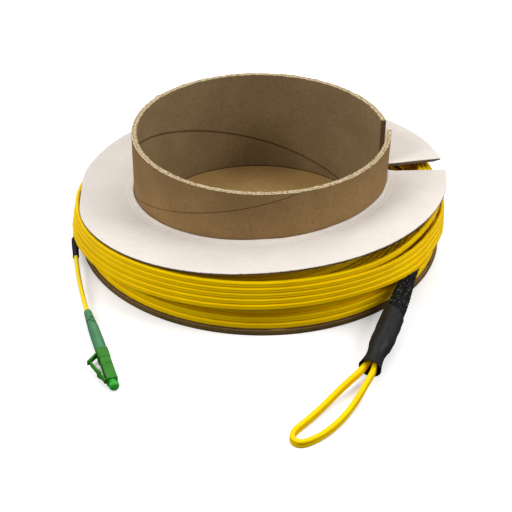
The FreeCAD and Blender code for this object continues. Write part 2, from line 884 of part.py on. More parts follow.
mouth = Vector(d.mouth_x.value, d.mouth_y.value, d.mouth_z.value)
sock_forward = heading(180 - d.sock_heading.value, -d.sock_rise.value)
sock_place = frame_at(mouth, sock_forward, UP)

sock = turned("pull_sock", [
    (d.sock_start, d.sock_radius - d.sock_wall), (d.sock_full_end, d.sock_radius - d.sock_wall),
    (d.sock_waist, d.sock_waist_radius - d.sock_wall), (d.sock_tail_start, d.sock_tail_radius - d.sock_wall),
    (d.sock_length, d.sock_tail_radius - d.sock_wall), (d.sock_length, d.sock_tail_radius),
    (d.sock_tail_start, d.sock_tail_radius), (d.sock_waist, d.sock_waist_radius),
    (d.sock_full_end, d.sock_radius), (d.sock_start, d.sock_radius),
])
finish(sock, sock_place)

shrink_inside = d.sock_radius + d.shrink_gap
shrink_full = d.sock_start - d.shrink_gap
shrink = turned("pull_shrink", [
    (0, d.shrink_mouth_radius - d.shrink_wall), (d.shrink_pinch, d.shrink_shoulder_radius - d.shrink_wall),
    (d.shrink_neck, d.shrink_neck_radius - d.shrink_wall),
    (d.shrink_shoulder, d.shrink_shoulder_radius - d.shrink_wall), (shrink_full, shrink_inside),
    (d.shrink_length, shrink_inside), (d.shrink_length, shrink_inside + d.shrink_wall),
    (shrink_full, shrink_inside + d.shrink_wall), (d.shrink_shoulder, d.shrink_shoulder_radius),
    (d.shrink_neck, d.shrink_neck_radius), (d.shrink_pinch, d.shrink_shoulder_radius),
    (0, d.shrink_mouth_radius),
])
finish(shrink, sock_place)

packed_nose = d.packed_cap_depth + d.cap_length
packed_joint = packed_nose + d.plug_length
packed_lean = Rotation(Vector(0, 1, 0), -d.packed_pitch.value)
packed_axis = sock_place.multiply(Placement(Vector(packed_joint.value, 0, -d.packed_drop.value), packed_lean))
turned_round = Rotation(UP, 180)
packed_place = packed_axis.multiply(Placement(Vector(), turned_round))
plug("right", packed_place, d.latch_slope_packed, d.trigger_slope_packed)

sleeve_start = d.boot_length + d.packed_sleeve_gap
sleeve_end = sleeve_start + d.right_sleeve_length
sleeve("right_sleeve", d.right_sleeve_length, packed_axis.multiply(
    Placement(Vector(sleeve_end.value, 0, 0), turned_round)
))

leg_start = d.post_stem + d.ring_setback
right_leg = doc.addObject("Part::Cylinder", "right_leg")
right_leg.Label = "right_leg"
right_leg.setExpression("Radius", d.leg_radius.text)
right_leg.setExpression("Height", (sleeve_start + d.right_sleeve_length * 0.5 - d.sleeve_gap * 2 - leg_start).text)
finish(right_leg, packed_axis.multiply(
    Placement(Vector(leg_start.value, 0, 0), Rotation(Vector(0, 1, 0), 90))
))


# Check every object, then write each piece to its own file

doc.recompute()
for item in doc.Objects:
    if "Invalid" in item.State or "Error" in item.State:
        raise RuntimeError(f"{item.Label} failed: {item.State}")
for piece in pieces:
    shape = piece.Shape
    if shape.isNull() or not shape.isValid() or len(shape.Solids) != 1:
        raise RuntimeError(f"{piece.Label} is not one valid solid")

os.makedirs("parts", exist_ok=True)
for piece in pieces:
    piece.Shape.exportStep(f"parts/{piece.Label}.step")
print(len(pieces), "pieces written")
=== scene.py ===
import math

import bmesh
import bpy
from mathutils import Matrix, Vector, noise


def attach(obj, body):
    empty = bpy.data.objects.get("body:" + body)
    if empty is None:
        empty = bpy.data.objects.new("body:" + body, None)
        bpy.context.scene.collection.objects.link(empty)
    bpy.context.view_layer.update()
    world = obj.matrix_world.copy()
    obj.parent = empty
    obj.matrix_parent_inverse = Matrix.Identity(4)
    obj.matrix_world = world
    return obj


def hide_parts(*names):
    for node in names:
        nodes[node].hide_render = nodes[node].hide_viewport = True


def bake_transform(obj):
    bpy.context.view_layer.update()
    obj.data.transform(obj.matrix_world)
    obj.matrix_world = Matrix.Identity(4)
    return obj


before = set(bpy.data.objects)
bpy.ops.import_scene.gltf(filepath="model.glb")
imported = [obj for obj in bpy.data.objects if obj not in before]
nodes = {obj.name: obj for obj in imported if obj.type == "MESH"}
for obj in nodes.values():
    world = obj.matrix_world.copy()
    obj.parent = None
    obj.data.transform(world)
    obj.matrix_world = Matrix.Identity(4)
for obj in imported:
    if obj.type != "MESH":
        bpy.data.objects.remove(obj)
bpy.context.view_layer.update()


# Core tube. A spiral-wound board tube: a thick grey-brown core between an outer and an inner ply of
# kraft paper, each wound as one long strip whose edges meet in a seam that climbs round the wall. It is
# sawn to length, which leaves a pale, fuzzy rim, and slit on the right, where the near lip springs out.
MM = 0.001
TUBE_RADIUS = 60.0 * MM
TUBE_WALL = 2.4 * MM
TUBE_FOOT = 2.6 * MM
TUBE_RIM = 55.4 * MM
TUBE_STEPS = 240
PLY = 0.25 * MM
SEAM_CLIMB = 107.0 * MM
OUTER_SEAM_LEVEL = -30.3 * MM
OUTER_SEAM_GAP = 0.45 * MM
INNER_SEAM_LEVEL = -8.0 * MM
INNER_SEAM_GAP = 1.2 * MM
INNER_FOOT_GAP = 0.7 * MM
SLOT_AZIMUTH = math.radians(4.9)
SLIT_WIDTH = 9.2 * MM
SLIT_FLOOR = 19.0 * MM
LIP_LEVEL = 33.5 * MM
LIP_SPRING = 1.2 * MM
LIP_REACH = 36.0
RIM_FUZZ = 0.4 * MM
FUZZ_GRAIN = 1.7 * MM
RIM_WEAR = 0.25 * MM
TEAR_PLACE = Vector((-49.9 * MM, 31.4 * MM, TUBE_RIM))
TEAR_LIFT = 1.1 * MM
TEAR_SIZE = 1.6 * MM
CLOUD_SPACING = 22.0
SPECK_SPACING = 3.4
SPECK_SHARE = 0.11
PLY_GRAIN = 0.55
PULP_GRAIN = 1.1
WELD = 0.01 * MM
SMOOTH_ANGLE = math.radians(40)


def linear(colour):
    """Linear RGBA from an sRGB hex colour such as "#8A6F48"."""
    rgba = []
    for start in (1, 3, 5):
        value = int(colour[start:start + 2], 16) / 255
        rgba.append(value / 12.92 if value <= 0.04045 else ((value + 0.055) / 1.055) ** 2.4)
    return rgba + [1]


def add_node(tree, kind, inputs=None, **settings):
    """A node with its settings, and its sockets given values or linked to other sockets."""
    made = tree.nodes.new(kind)
    for name, value in settings.items():
        setattr(made, name, value)
    for name, value in (inputs or {}).items():
        if isinstance(value, bpy.types.NodeSocket):
            tree.links.new(value, made.inputs[name])
        else:
            made.inputs[name].default_value = value
    return made


def start_material(name, **sockets):
    """A material with its shader's plain sockets set, its node tree and its shader."""
    material = bpy.data.materials.new(name)
    material.use_nodes = True
    tree = material.node_tree
    shader = tree.nodes["Principled BSDF"]
    for socket, value in sockets.items():
        shader.inputs[socket.replace("_", " ")].default_value = value
    return material, tree, shader


def keep_mesh(bm, name, materials, body="spool"):
    """The finished bmesh as a piece with its materials, riding on a body if one is named."""
    mesh = bpy.data.meshes.new(name)
    bm.to_mesh(mesh)
    bm.free()
    for material in materials:
        mesh.materials.append(material)
    mesh.shade_smooth()
    mesh.set_sharp_from_angle(angle=SMOOTH_ANGLE)
    piece = bpy.data.objects.new(name, mesh)
    bpy.context.collection.objects.link(piece)
    if body:
        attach(piece, body)
    return piece


def board_material(name, tone, fleck, fleck_mm, roughness, bump_mm, speck=None):
    """Board: matt pulp with longer fibres that show as darker flecks, and a few specks of waste paper.

    The specks are as dark as the flecks, unless they have a colour of their own."""
    material, tree, shader = start_material(name, Roughness=roughness, Specular_IOR_Level=0.25)
    place = add_node(tree, "ShaderNodeTexCoord").outputs["Object"]
    fibres = add_node(
        tree, "ShaderNodeTexNoise",
        {"Vector": place, "Scale": 1 / (fleck_mm * MM), "Detail": 5, "Roughness": 0.65},
    )
    clouds = add_node(
        tree, "ShaderNodeTexNoise", {"Vector": place, "Scale": 1 / (CLOUD_SPACING * MM), "Detail": 3}
    )
    mixed = add_node(
        tree, "ShaderNodeMath", {0: fibres.outputs["Fac"], 1: clouds.outputs["Fac"]}, operation="MULTIPLY"
    )
    waste = add_node(tree, "ShaderNodeTexVoronoi", {"Vector": place, "Scale": 1 / (SPECK_SPACING * MM)})
    bare = add_node(
        tree, "ShaderNodeMath", {0: waste.outputs["Distance"], 1: SPECK_SHARE}, operation="GREATER_THAN"
    )
    dotted = add_node(tree, "ShaderNodeMath", {0: mixed.outputs[0], 1: bare.outputs[0]}, operation="MULTIPLY")
    ramp = add_node(tree, "ShaderNodeValToRGB", {"Fac": dotted.outputs[0]})
    ramp.color_ramp.elements[0].color = linear(speck or fleck)
    ramp.color_ramp.elements.new(0.14).color = linear(fleck)
    ramp.color_ramp.elements[2].position = 0.36
    ramp.color_ramp.elements[2].color = linear(tone)
    tree.links.new(ramp.outputs["Color"], shader.inputs["Base Color"])
    relief = add_node(
        tree, "ShaderNodeBump", {"Height": fibres.outputs["Fac"], "Distance": bump_mm * MM, "Strength": 0.6}
    )
    tree.links.new(relief.outputs["Normal"], shader.inputs["Normal"])
    return material


def sawn_material(name, pale, dark):
    """Sawn edge of a wound tube: fuzzy pulp in thin rings, one for each ply."""
    material, tree, shader = start_material(name, Roughness=0.95, Specular_IOR_Level=0.1)
    place = add_node(tree, "ShaderNodeTexCoord").outputs["Object"]
    flat = add_node(tree, "ShaderNodeVectorMath", {0: place, 1: (1, 1, 0)}, operation="MULTIPLY")
    radius = add_node(tree, "ShaderNodeVectorMath", {0: flat.outputs["Vector"]}, operation="LENGTH")
    plies = add_node(
        tree, "ShaderNodeTexNoise",
        {"W": radius.outputs["Value"], "Scale": 1 / (PLY_GRAIN * MM), "Detail": 2}, noise_dimensions="1D",
    )
    fuzz = add_node(
        tree, "ShaderNodeTexNoise", {"Vector": place, "Scale": 1 / (PULP_GRAIN * MM), "Detail": 4}
    )
    mixed = add_node(
        tree, "ShaderNodeMath", {0: plies.outputs["Fac"], 1: fuzz.outputs["Fac"]}, operation="MULTIPLY"
    )
    ramp = add_node(tree, "ShaderNodeValToRGB", {"Fac": mixed.outputs[0]})
    ramp.color_ramp.elements[0].position = 0.16
    ramp.color_ramp.elements[0].color = linear(dark)
    ramp.color_ramp.elements[1].position = 0.34
    ramp.color_ramp.elements[1].color = linear(pale)
    tree.links.new(ramp.outputs["Color"], shader.inputs["Base Color"])
    relief = add_node(
        tree, "ShaderNodeBump", {"Height": mixed.outputs[0], "Distance": 0.3 * MM, "Strength": 0.8}
    )
    tree.links.new(relief.outputs["Normal"], shader.inputs["Normal"])
    return material


# Kraft liner paper gives a warm matt brown, greyer inside; the sawn edge shows the paler pulp, and the
# core is a dark line wherever a seam stands open.
kraft_paper = board_material("kraft liner paper", "#94754A", "#836640", 1.6, 0.82, 0.05)
inner_paper = board_material("grey kraft inner paper", "#8C7755", "#7C6748", 1.6, 0.85, 0.05, "#675439")
sawn_pulp = sawn_material("sawn board pulp", "#CDBB9A", "#7C6949")
core_board = board_material("wound core board", "#6A5537", "#57442A", 1.2, 0.95, 0.1)


def cut_all(bm, point, normal, **clear):
    """Cut all of a bmesh along a plane, and drop one side of it where clear says so."""
    everything = bm.verts[:] + bm.edges[:] + bm.faces[:]
    bmesh.ops.bisect_plane(bm, geom=everything, plane_co=point, plane_no=normal, **clear)


def wound_wall(name, radius, thickness, strip, seam_level, face_paper, foot=TUBE_FOOT):
    """A layer of the tube wound from one strip, trimmed to the tube's height and slit, then made solid.

    seam_level is the height of the strip's lower edge at azimuth 0. The near lip of the slit springs out."""
    bm = bmesh.new()
    low = bm.verts.new((radius, 0, seam_level - SEAM_CLIMB))
    high = bm.verts.new((radius, 0, seam_level - SEAM_CLIMB + strip))
    edge = bm.edges.new((low, high))
    bmesh.ops.spin(
        bm, geom=[low, high, edge], cent=(0, 0, 0), axis=(0, 0, 1), angle=4 * math.pi,
        steps=2 * TUBE_STEPS, dvec=(0, 0, SEAM_CLIMB / TUBE_STEPS),
    )
    cut_all(bm, (0, 0, foot), (0, 0, 1), clear_inner=True)
    cut_all(bm, (0, 0, TUBE_RIM), (0, 0, 1), clear_outer=True)
    turn = Matrix.Rotation(SLOT_AZIMUTH, 3, "Z")
    side = turn @ Vector((0, 1, 0))
    for offset in (-SLIT_WIDTH / 2, SLIT_WIDTH / 2):
        cut_all(bm, side * offset, side)
    cut_all(bm, (0, 0, SLIT_FLOOR), (0, 0, 1))
    cut_all(bm, (0, 0, LIP_LEVEL), (0, 0, 1))
    out = turn @ Vector((1, 0, 0))
    slit = []
    for face in bm.faces:
        middle = face.calc_center_median()
        if middle.dot(out) > 0 and abs(middle.dot(side)) < SLIT_WIDTH / 2 and middle.z > SLIT_FLOOR:
            slit.append(face)
    bmesh.ops.delete(bm, geom=slit, context="FACES")
    bmesh.ops.remove_doubles(bm, verts=bm.verts, dist=WELD)
    bmesh.ops.recalc_face_normals(bm, faces=bm.faces)
    bmesh.ops.solidify(bm, geom=bm.faces, thickness=thickness)
    bmesh.ops.recalc_face_normals(bm, faces=bm.faces)
    for vert in bm.verts:
        behind = math.degrees(SLOT_AZIMUTH - math.atan2(vert.co.y, vert.co.x))
        if 0 < behind < LIP_REACH and vert.co.z > LIP_LEVEL:
            raised = (vert.co.z - LIP_LEVEL) / (TUBE_RIM - LIP_LEVEL)
            sprung = 1 + LIP_SPRING / TUBE_RADIUS * raised * (1 - behind / LIP_REACH) ** 2
            vert.co.x *= sprung
            vert.co.y *= sprung
        if vert.co.z > TUBE_RIM - WELD / 10:
            vert.co.z += RIM_FUZZ * noise.noise(vert.co / FUZZ_GRAIN) - RIM_WEAR
            vert.co.z += TEAR_LIFT * math.exp(-((vert.co - TEAR_PLACE).length / TEAR_SIZE) ** 2)
    for face in bm.faces:
        upright = abs(face.normal.z) < 0.5
        middle = face.calc_center_median()
        face.material_index = 1 if not upright and middle.z > TUBE_RIM - MM else 0
    return keep_mesh(bm, name, [face_paper, sawn_pulp])


tube_core = wound_wall("tube_core", TUBE_RADIUS - PLY, TUBE_WALL - 2 * PLY, SEAM_CLIMB, 0, core_board)
wound_wall(
    "tube_outer_ply", TUBE_RADIUS, PLY, SEAM_CLIMB - OUTER_SEAM_GAP, OUTER_SEAM_LEVEL, kraft_paper
)
wound_wall(
    "tube_inner_ply", TUBE_RADIUS - TUBE_WALL + PLY, PLY, SEAM_CLIMB - INNER_SEAM_GAP, INNER_SEAM_LEVEL,
    inner_paper, TUBE_FOOT + INNER_FOOT_GAP,
)
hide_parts("core_tube")


# Base disc. Stamped from thick brown board faced with kraft paper and glued to the foot of the tube, so
# it closes the tube and carries the winding; its stamped edge is slightly rounded and darker.
BASE_RADIUS = 86.4 * MM
BASE_CARD = 2.6 * MM
BASE_ROUND = 0.35 * MM
BASE_SIDES = 192
FLAT_FACE = 0.9

# The paper is painted a lighter golden tone inside the tube: partly its own colour, partly painted light
# against the shade inside the tube. Outside it the paper has the plain kraft tone; the edge is raw board.
floor_paper_painted_lighter = board_material("golden kraft paper", "#B8955C", "#A88650", 1.6, 0.82, 0.05)
outer_kraft_paper = board_material("outer kraft paper", "#94754A", "#80653F", 1.6, 0.85, 0.05)
stamped_board = board_material("stamped board edge", "#70592F", "#594622", 1.4, 0.95, 0.12)


def new_verts(extruded):
    """The vertices that an extrusion has made."""
    return [item for item in extruded["geom"] if isinstance(item, bmesh.types.BMVert)]


bm = bmesh.new()
bmesh.ops.create_circle(bm, cap_ends=True, cap_tris=False, segments=BASE_SIDES, radius=BASE_RADIUS)
risen = bmesh.ops.extrude_face_region(bm, geom=bm.faces[:])
bmesh.ops.translate(bm, verts=new_verts(risen), vec=(0, 0, BASE_CARD))
bmesh.ops.recalc_face_normals(bm, faces=bm.faces)
rims = [edge for edge in bm.edges if abs(edge.verts[0].co.z - edge.verts[1].co.z) < WELD]
bmesh.ops.bevel(bm, geom=rims, offset=BASE_ROUND, segments=3, profile=0.5, affect="EDGES", material=-1)
faces_up = [face for face in bm.faces if face.normal.z > FLAT_FACE]
bmesh.ops.inset_region(bm, faces=faces_up, thickness=BASE_RADIUS - TUBE_RADIUS)
for face in bm.faces:
    in_tube = math.hypot(*face.calc_center_median().xy) < MM
    if abs(face.normal.z) < FLAT_FACE:
        face.material_index = 2
    else:
        # Inside the tube the top takes the paper painted lighter against the tube's shade; outside, plain
        # kraft.
        face.material_index = 0 if in_tube else 1
base_disc = keep_mesh(bm, "base_disc", [floor_paper_painted_lighter, outer_kraft_paper, stamped_board])
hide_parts("base_flange")


# Upper flange. A ring of grey-brown board lined with white paper, pushed down over the tube onto the
# winding, so it leans and warps with it. Its slot lines up with the tube's slit, and the white liner is
# turned up and creased round the hole where the tube was pushed through.
FLANGE_LEVEL = 28.6 * MM
FLANGE_CARD = 1.6 * MM
FLANGE_RADIUS = 88.0 * MM
FLANGE_SLOT = 8.0 * MM
LINER = 0.3 * MM
CRUSHED = 0.75 * MM
CRUSHED_FROM = 0.9
PRESSED_LEFT = (2.6 * MM, 184, 13)
WARPS = [(0.9 * MM, -84, 26), (1.6 * MM, 142, 14)]
WARP_GRID = 6 * MM
WARP_CUTS = 14
COLLAR_PAPER = 0.1 * MM
CREASES = [
    (60.42, 0.5), (60.6, 1.1), (60.95, 1.2), (61.35, 0.6), (61.7, 0.75), (62.2, 0.3), (62.7, 0.42),
    (63.6, 0.03),
]
CREASE_MEAN = 0.75
CREASE_SWING = 0.6
CREASE_SPACING = 14 * MM
LEAN = Matrix.Rotation(math.radians(-2.88), 3, "X") @ Matrix.Rotation(math.radians(-3.78), 3, "Y")
flange_up = LEAN @ Vector((0, 0, 1))
flange_middle = Vector((0, 0, FLANGE_LEVEL))

# White liner paper is matt and slightly warm; the cut edge shows the darker, crushed grey board.
white_liner = board_material("white liner paper", "#E1D9D1", "#DAD2C9", 3.0, 0.75, 0.03)
grey_board = board_material("grey board edge", "#7A6B54", "#5A4D3A", 0.8, 0.95, 0.2)


def even_shading(piece):
    """Shade broad flat faces flat beside their edges."""
    piece.modifiers.new("even_shading", "WEIGHTED_NORMAL").keep_sharp = True


def hump(azimuth, size, middle, width):
    """A size that is full at a middle azimuth and fades to 0 over a width, both in degrees."""
    turn = (azimuth - middle + 180) % 360 - 180
    return size * math.exp(-(turn / width) ** 2)


bm = bmesh.new()
bm.from_mesh(nodes["top_flange"].data)
bmesh.ops.remove_doubles(bm, verts=bm.verts, dist=WELD)
cut_all(bm, flange_middle - flange_up * LINER, flange_up)
for step in range(-WARP_CUTS, WARP_CUTS + 1):
    cut_all(bm, (step * WARP_GRID, 0, 0), (1, 0, 0))
    cut_all(bm, (0, step * WARP_GRID, 0), (0, 1, 0))
for face in bm.faces:
    height = (face.calc_center_median() - flange_middle).dot(flange_up)
    face.material_index = 0 if height > -LINER * 0.6 else 1
for vert in bm.verts:
    radius = math.hypot(vert.co.x, vert.co.y)
    azimuth = math.degrees(math.atan2(vert.co.y, vert.co.x))
    outer = max(0.0, (radius - TUBE_RADIUS) / (FLANGE_RADIUS - TUBE_RADIUS)) ** 2
    underneath = (vert.co - flange_middle).dot(flange_up) < -0.9 * FLANGE_CARD
    if outer > CRUSHED_FROM and underneath:
        vert.co += flange_up * CRUSHED
    inward = outer * hump(azimuth, *PRESSED_LEFT) / radius
    vert.co.x -= vert.co.x * inward
    vert.co.y -= vert.co.y * inward
    vert.co.z += outer * sum(hump(azimuth, *warp) for warp in WARPS)
top_flange = keep_mesh(bm, "top_flange_board", [white_liner, grey_board])
even_shading(top_flange)
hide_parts("top_flange")

slot_half = math.asin(FLANGE_SLOT / 2 / TUBE_RADIUS)
bm = bmesh.new()
crest = [bm.verts.new(Vector((radius, 0, height)) * MM) for radius, height in CREASES]
folds = [bm.edges.new(pair) for pair in zip(crest, crest[1:])]
bmesh.ops.rotate(bm, verts=crest, cent=(0, 0, 0), matrix=Matrix.Rotation(SLOT_AZIMUTH + slot_half, 3, "Z"))
bmesh.ops.spin(
    bm, geom=crest + folds, cent=(0, 0, 0), axis=(0, 0, 1), angle=2 * (math.pi - slot_half), steps=TUBE_STEPS
)
for vert in bm.verts:
    vert.co.z *= CREASE_MEAN + CREASE_SWING * noise.noise(vert.co / CREASE_SPACING)
bmesh.ops.recalc_face_normals(bm, faces=bm.faces)
bmesh.ops.solidify(bm, geom=bm.faces, thickness=COLLAR_PAPER)
bmesh.ops.transform(bm, matrix=Matrix.Translation(flange_middle) @ LEAN.to_4x4(), verts=bm.verts)
keep_mesh(bm, "liner_collar", [white_liner])


# Flat cable. A two-fibre indoor cable in an extruded yellow jacket, three by two millimetres, notched
# along both broad sides so that it splits. It stands on edge and is wound clockwise from the left sleeve:
# inwards on the base disc, outwards under the flange, then as a slack band that ends at the right sleeve.
CABLE_TALL = 2.78
CABLE_THICK = 1.94
CABLE_CORNER = 0.72
CORNER_SOFT = 0.3
NOTCH = 0.18
NOTCH_HALF = 0.3
TURN_POINTS = 32
SLOT_CHANGE = 98.0
START_AZIMUTH = 132.0
END_AZIMUTH = 33.0
CROSSOVER = 0.5
SWAY_ROUND = 1.3
SWAY_TURN = 0.71
SWAY_OUT = 0.2
SWAY_UP = 0.14
SWAY_SHIFT = Vector((7.0, 3.0, 1.0))
LEFT_LEAD = [
    (-86.78, -24.15, 5.08), (-87.95, -16.85, 5.2), (-88.6, -6.5, 5.05), (-87.7, 6.0, 4.75),
    (-85.1, 17.8, 4.45), (-80.9, 28.6, 4.25), (-75.2, 38.4, 4.2),
]
RIGHT_LEAD = [
    (69.89, -50.05, 14.25), (71.96, -44.58, 15.12), (74.6, -33.5, 14.3), (77.2, -22.5, 13.8),
    (79.1, -11.2, 13.65), (80.0, 0.5, 13.6), (79.4, 12.5, 13.6),
]

# Low turns lie on the base disc: each row's height, and how far in from its layer's radius it lies.
LOW_RADIUS = 84.5
LAYER_PITCH = 2.03
LOW_LAYER_COUNT = 12
LOW_LAYERS = [LOW_RADIUS - LAYER_PITCH * layer for layer in range(LOW_LAYER_COUNT)]
LOW_ROWS = {4.08: 0.0, 7.05: 0.3, 10.02: 2.6}

# High turns hang under the flange, with their rows measured down from its face. They are drawn in near
# the sock and sag in the flange's slot: size, azimuth and width, as hump takes them.
HIGH_LAYERS = [78.4, 80.4, 82.3]
HIGH_ROWS = [-9.3, -6.28, -3.26]
HIGH_DRAWN_IN = (8.0, -50, 22)
HIGH_SLOT_SAG = (3.5, 5, 12)
FLANGE_SLOPE = (0.066, -0.0503)

# The slack band has five rows outside and three behind them, each at a share of its depth. It dips and
# its rows close up where the sock passes under, and they bulge where it lies over the sock or has slipped.
BAND_MIDDLE = (-1.1, -1.0)
BAND_LAYERS = [(87.15, (0.0, 0.25, 0.5, 0.75, 1.0)), (85.2, (0.95, 0.7, 0.45))]
BAND_LEVEL = 24.8
BAND_SLOPE = (0.0211, -0.0538)
BAND_UNDER_FLANGE = 1.45
BAND_HALF_ROW = 1.5
BAND_DEPTH = 11.0
BAND_DROOP = 1.8
BAND_DIP = (1.8, -46, 16)
BAND_CLOSED_UP = [(1.3, -43, 16), (1.7, -22, 11)]
BAND_PARTING = (0.1, 203, 22)
PARTED_FROM = 0.6
ROW_LEAN = 0.9
LEFT_HANG = (1.6, 189, 13)
LEFT_TUCK = (0.9, 213, 11)
LEFT_DRAWN_IN = (2.0, 163, 14)
SOCK_BULGE = (2.5, -38, 9)
RIGHT_BULGE = (1.0, -13, 14)

# A smooth line runs inside its control points, so they stand further out than the turn by this factor.
SWELL = 1 / (0.75 + 0.25 * math.cos(2 * math.pi / TURN_POINTS))


def jacket_material(name, tone, shade):
    """Flame-retardant cable jacket: smooth extruded plastic, satin, with faint clouding along its length."""
    material, tree, shader = start_material(
        name, Roughness=0.42, Specular_Tint=linear("#FFD400"), Specular_IOR_Level=0.35
    )
    place = add_node(tree, "ShaderNodeTexCoord").outputs["Object"]
    clouds = add_node(tree, "ShaderNodeTexNoise", {"Vector": place, "Scale": 1 / (14 * MM), "Detail": 3})
    ramp = add_node(tree, "ShaderNodeValToRGB", {"Fac": clouds.outputs["Fac"]})
    ramp.color_ramp.elements[0].position = 0.35
    ramp.color_ramp.elements[0].color = linear(shade)
    ramp.color_ramp.elements[1].position = 0.65
    ramp.color_ramp.elements[1].color = linear(tone)
    tree.links.new(ramp.outputs["Color"], shader.inputs["Base Color"])
    grain = add_node(tree, "ShaderNodeTexNoise", {"Vector": place, "Scale": 1 / (0.6 * MM), "Detail": 2})
    relief = add_node(
        tree, "ShaderNodeBump", {"Height": grain.outputs["Fac"], "Distance": 0.02 * MM, "Strength": 0.4}
    )
    tree.links.new(relief.outputs["Normal"], shader.inputs["Normal"])
    return material


# The jacket is a strong warm yellow with a soft shine along each turn.
yellow_jacket = jacket_material("yellow cable jacket", "#FED400", "#F8C900")


def route_curve(name, points_mm, material):
    """A cord's smooth line: one open spline with the route's points as its control points.

    Its section is in millimetres, as the points are, and is brought to scale by the points' radius."""
    curve = bpy.data.curves.new(name, "CURVE")
    curve.dimensions = "3D"
    spline = curve.splines.new("NURBS")
    spline.points.add(len(points_mm) - 1)
    for point, place in zip(spline.points, points_mm):
        point.co = [value * MM for value in place] + [1]
        point.radius = MM
    spline.order_u = 3
    spline.use_endpoint_u = True
    curve.materials.append(material)
    piece = bpy.data.objects.new(name, curve)
    bpy.context.collection.objects.link(piece)
    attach(piece, "spool")
    return piece


def cable_length(piece):
    """Length of a cord's line in metres, read from the line without its section."""
    bevel, section, depth = piece.data.bevel_mode, piece.data.bevel_object, piece.data.bevel_depth
    piece.data.bevel_object = None
    piece.data.bevel_mode = "ROUND"
    piece.data.bevel_depth = 0
    bpy.context.view_layer.update()
    line = bpy.data.meshes.new_from_object(piece.evaluated_get(bpy.context.evaluated_depsgraph_get()))
    total = 0.0
    for edge in line.edges:
        first, second = (line.vertices[index].co for index in edge.vertices)
        total += (first - second).length
    bpy.data.meshes.remove(line)
    piece.data.bevel_mode, piece.data.bevel_object, piece.data.bevel_depth = bevel, section, depth
    return total


def eased(value, start, end):
    """0 before start, 1 after end, smooth between."""
    share = min(max((value - start) / (end - start), 0.0), 1.0)
    return share * share * (3 - 2 * share)


def leaning(level, slope, x, y):
    """Height in millimetres of a leaning plane over a place on the floor."""
    return level + slope[0] * x + slope[1] * y


def flange_height(x, y):
    """Height in millimetres of the flange's top face over a place on the floor."""
    return leaning(FLANGE_LEVEL / MM, FLANGE_SLOPE, x, y)


def band_row(x, y, azimuth, share):
    """Height in millimetres of a row of the slack band: share 0 is its top row and 1 its lowest.

    The rows fan out where the band droops on the right, part in two on the left, and are lifted where
    the sock passes under."""
    top = min(leaning(BAND_LEVEL, BAND_SLOPE, x, y), flange_height(x, y) - BAND_UNDER_FLANGE)
    top -= hump(azimuth, *BAND_DIP)
    depth = BAND_DEPTH + BAND_DROOP * max(0.0, math.cos(math.radians(azimuth))) ** 4
    depth -= sum(hump(azimuth, *closed) for closed in BAND_CLOSED_UP)
    parted = hump(azimuth, *BAND_PARTING) if share > PARTED_FROM else 0.0
    return top - BAND_HALF_ROW - (share + parted) * depth


def band_bulge(azimuth, share):
    """How far a row of the slack band stands out from its circle, in millimetres.

    Each row lies a little further out than the one over it. On the left the lowest row hangs out and the
    top row is drawn in under the flange; over the sock's end the lowest row lies out furthest."""
    left = (share - 0.5) * hump(azimuth, *LEFT_HANG) - share * hump(azimuth, *LEFT_TUCK)
    left -= hump(azimuth, *LEFT_DRAWN_IN)
    right = share * hump(azimuth, *SOCK_BULGE) + hump(azimuth, *RIGHT_BULGE)
    return left + ROW_LEAN * (share - 0.5) + right


def winding_slots():
    """Each turn's place as (group, radius, row), in the order in which the turns are wound."""
    slots = []
    for group, layers, rows in (("low", LOW_LAYERS, list(LOW_ROWS)), ("high", HIGH_LAYERS, HIGH_ROWS)):
        for layer, radius in enumerate(layers):
            slots += [(group, radius, row) for row in (rows if layer % 2 == 0 else rows[::-1])]
    for radius, shares in BAND_LAYERS:
        slots += [("band", radius, share) for share in shares]
    return slots


def slot_place(slot, azimuth):
    """Where a turn runs at an azimuth given in degrees, in millimetres."""
    group, radius, row = slot
    if group == "low":
        radius -= LOW_ROWS[row]
    elif group == "high":
        radius -= hump(azimuth, *HIGH_DRAWN_IN)
    else:
        radius += band_bulge(azimuth, row)
    angle = math.radians(azimuth)
    x, y = radius * math.cos(angle), radius * math.sin(angle)
    if group == "low":
        return Vector((x, y, row))
    if group == "high":
        return Vector((x, y, row + flange_height(x, y) - hump(azimuth, *HIGH_SLOT_SAG)))
    x, y = x + BAND_MIDDLE[0], y + BAND_MIDDLE[1]
    return Vector((x, y, band_row(x, y, azimuth, row)))


def winding_points():
    """Control points of all turns, in millimetres, each turn slightly loose and eased into the next."""
    slots = winding_slots()
    points = []
    azimuth = START_AZIMUTH
    while azimuth > END_AZIMUTH - 360 * (len(slots) - 1) - 1:
        turns = max(0.0, (SLOT_CHANGE - azimuth) / 360)
        index = min(int(turns), len(slots) - 1)
        place = slot_place(slots[index], azimuth)
        if index and slots[index][0] != slots[index - 1][0]:
            share = eased(turns - index, 0.0, CROSSOVER)
            place = slot_place(slots[index - 1], azimuth).lerp(place, share)
        out = Vector((place.x, place.y, 0)).normalized()
        sway = Vector((out.x * SWAY_ROUND, out.y * SWAY_ROUND, index * SWAY_TURN))
        place += out * (SWAY_OUT * noise.noise(sway) + (SWELL - 1) * slots[index][1])
        place.z += SWAY_UP * noise.noise(sway + SWAY_SHIFT)
        points.append(tuple(place))
        azimuth -= 360 / TURN_POINTS
    return points


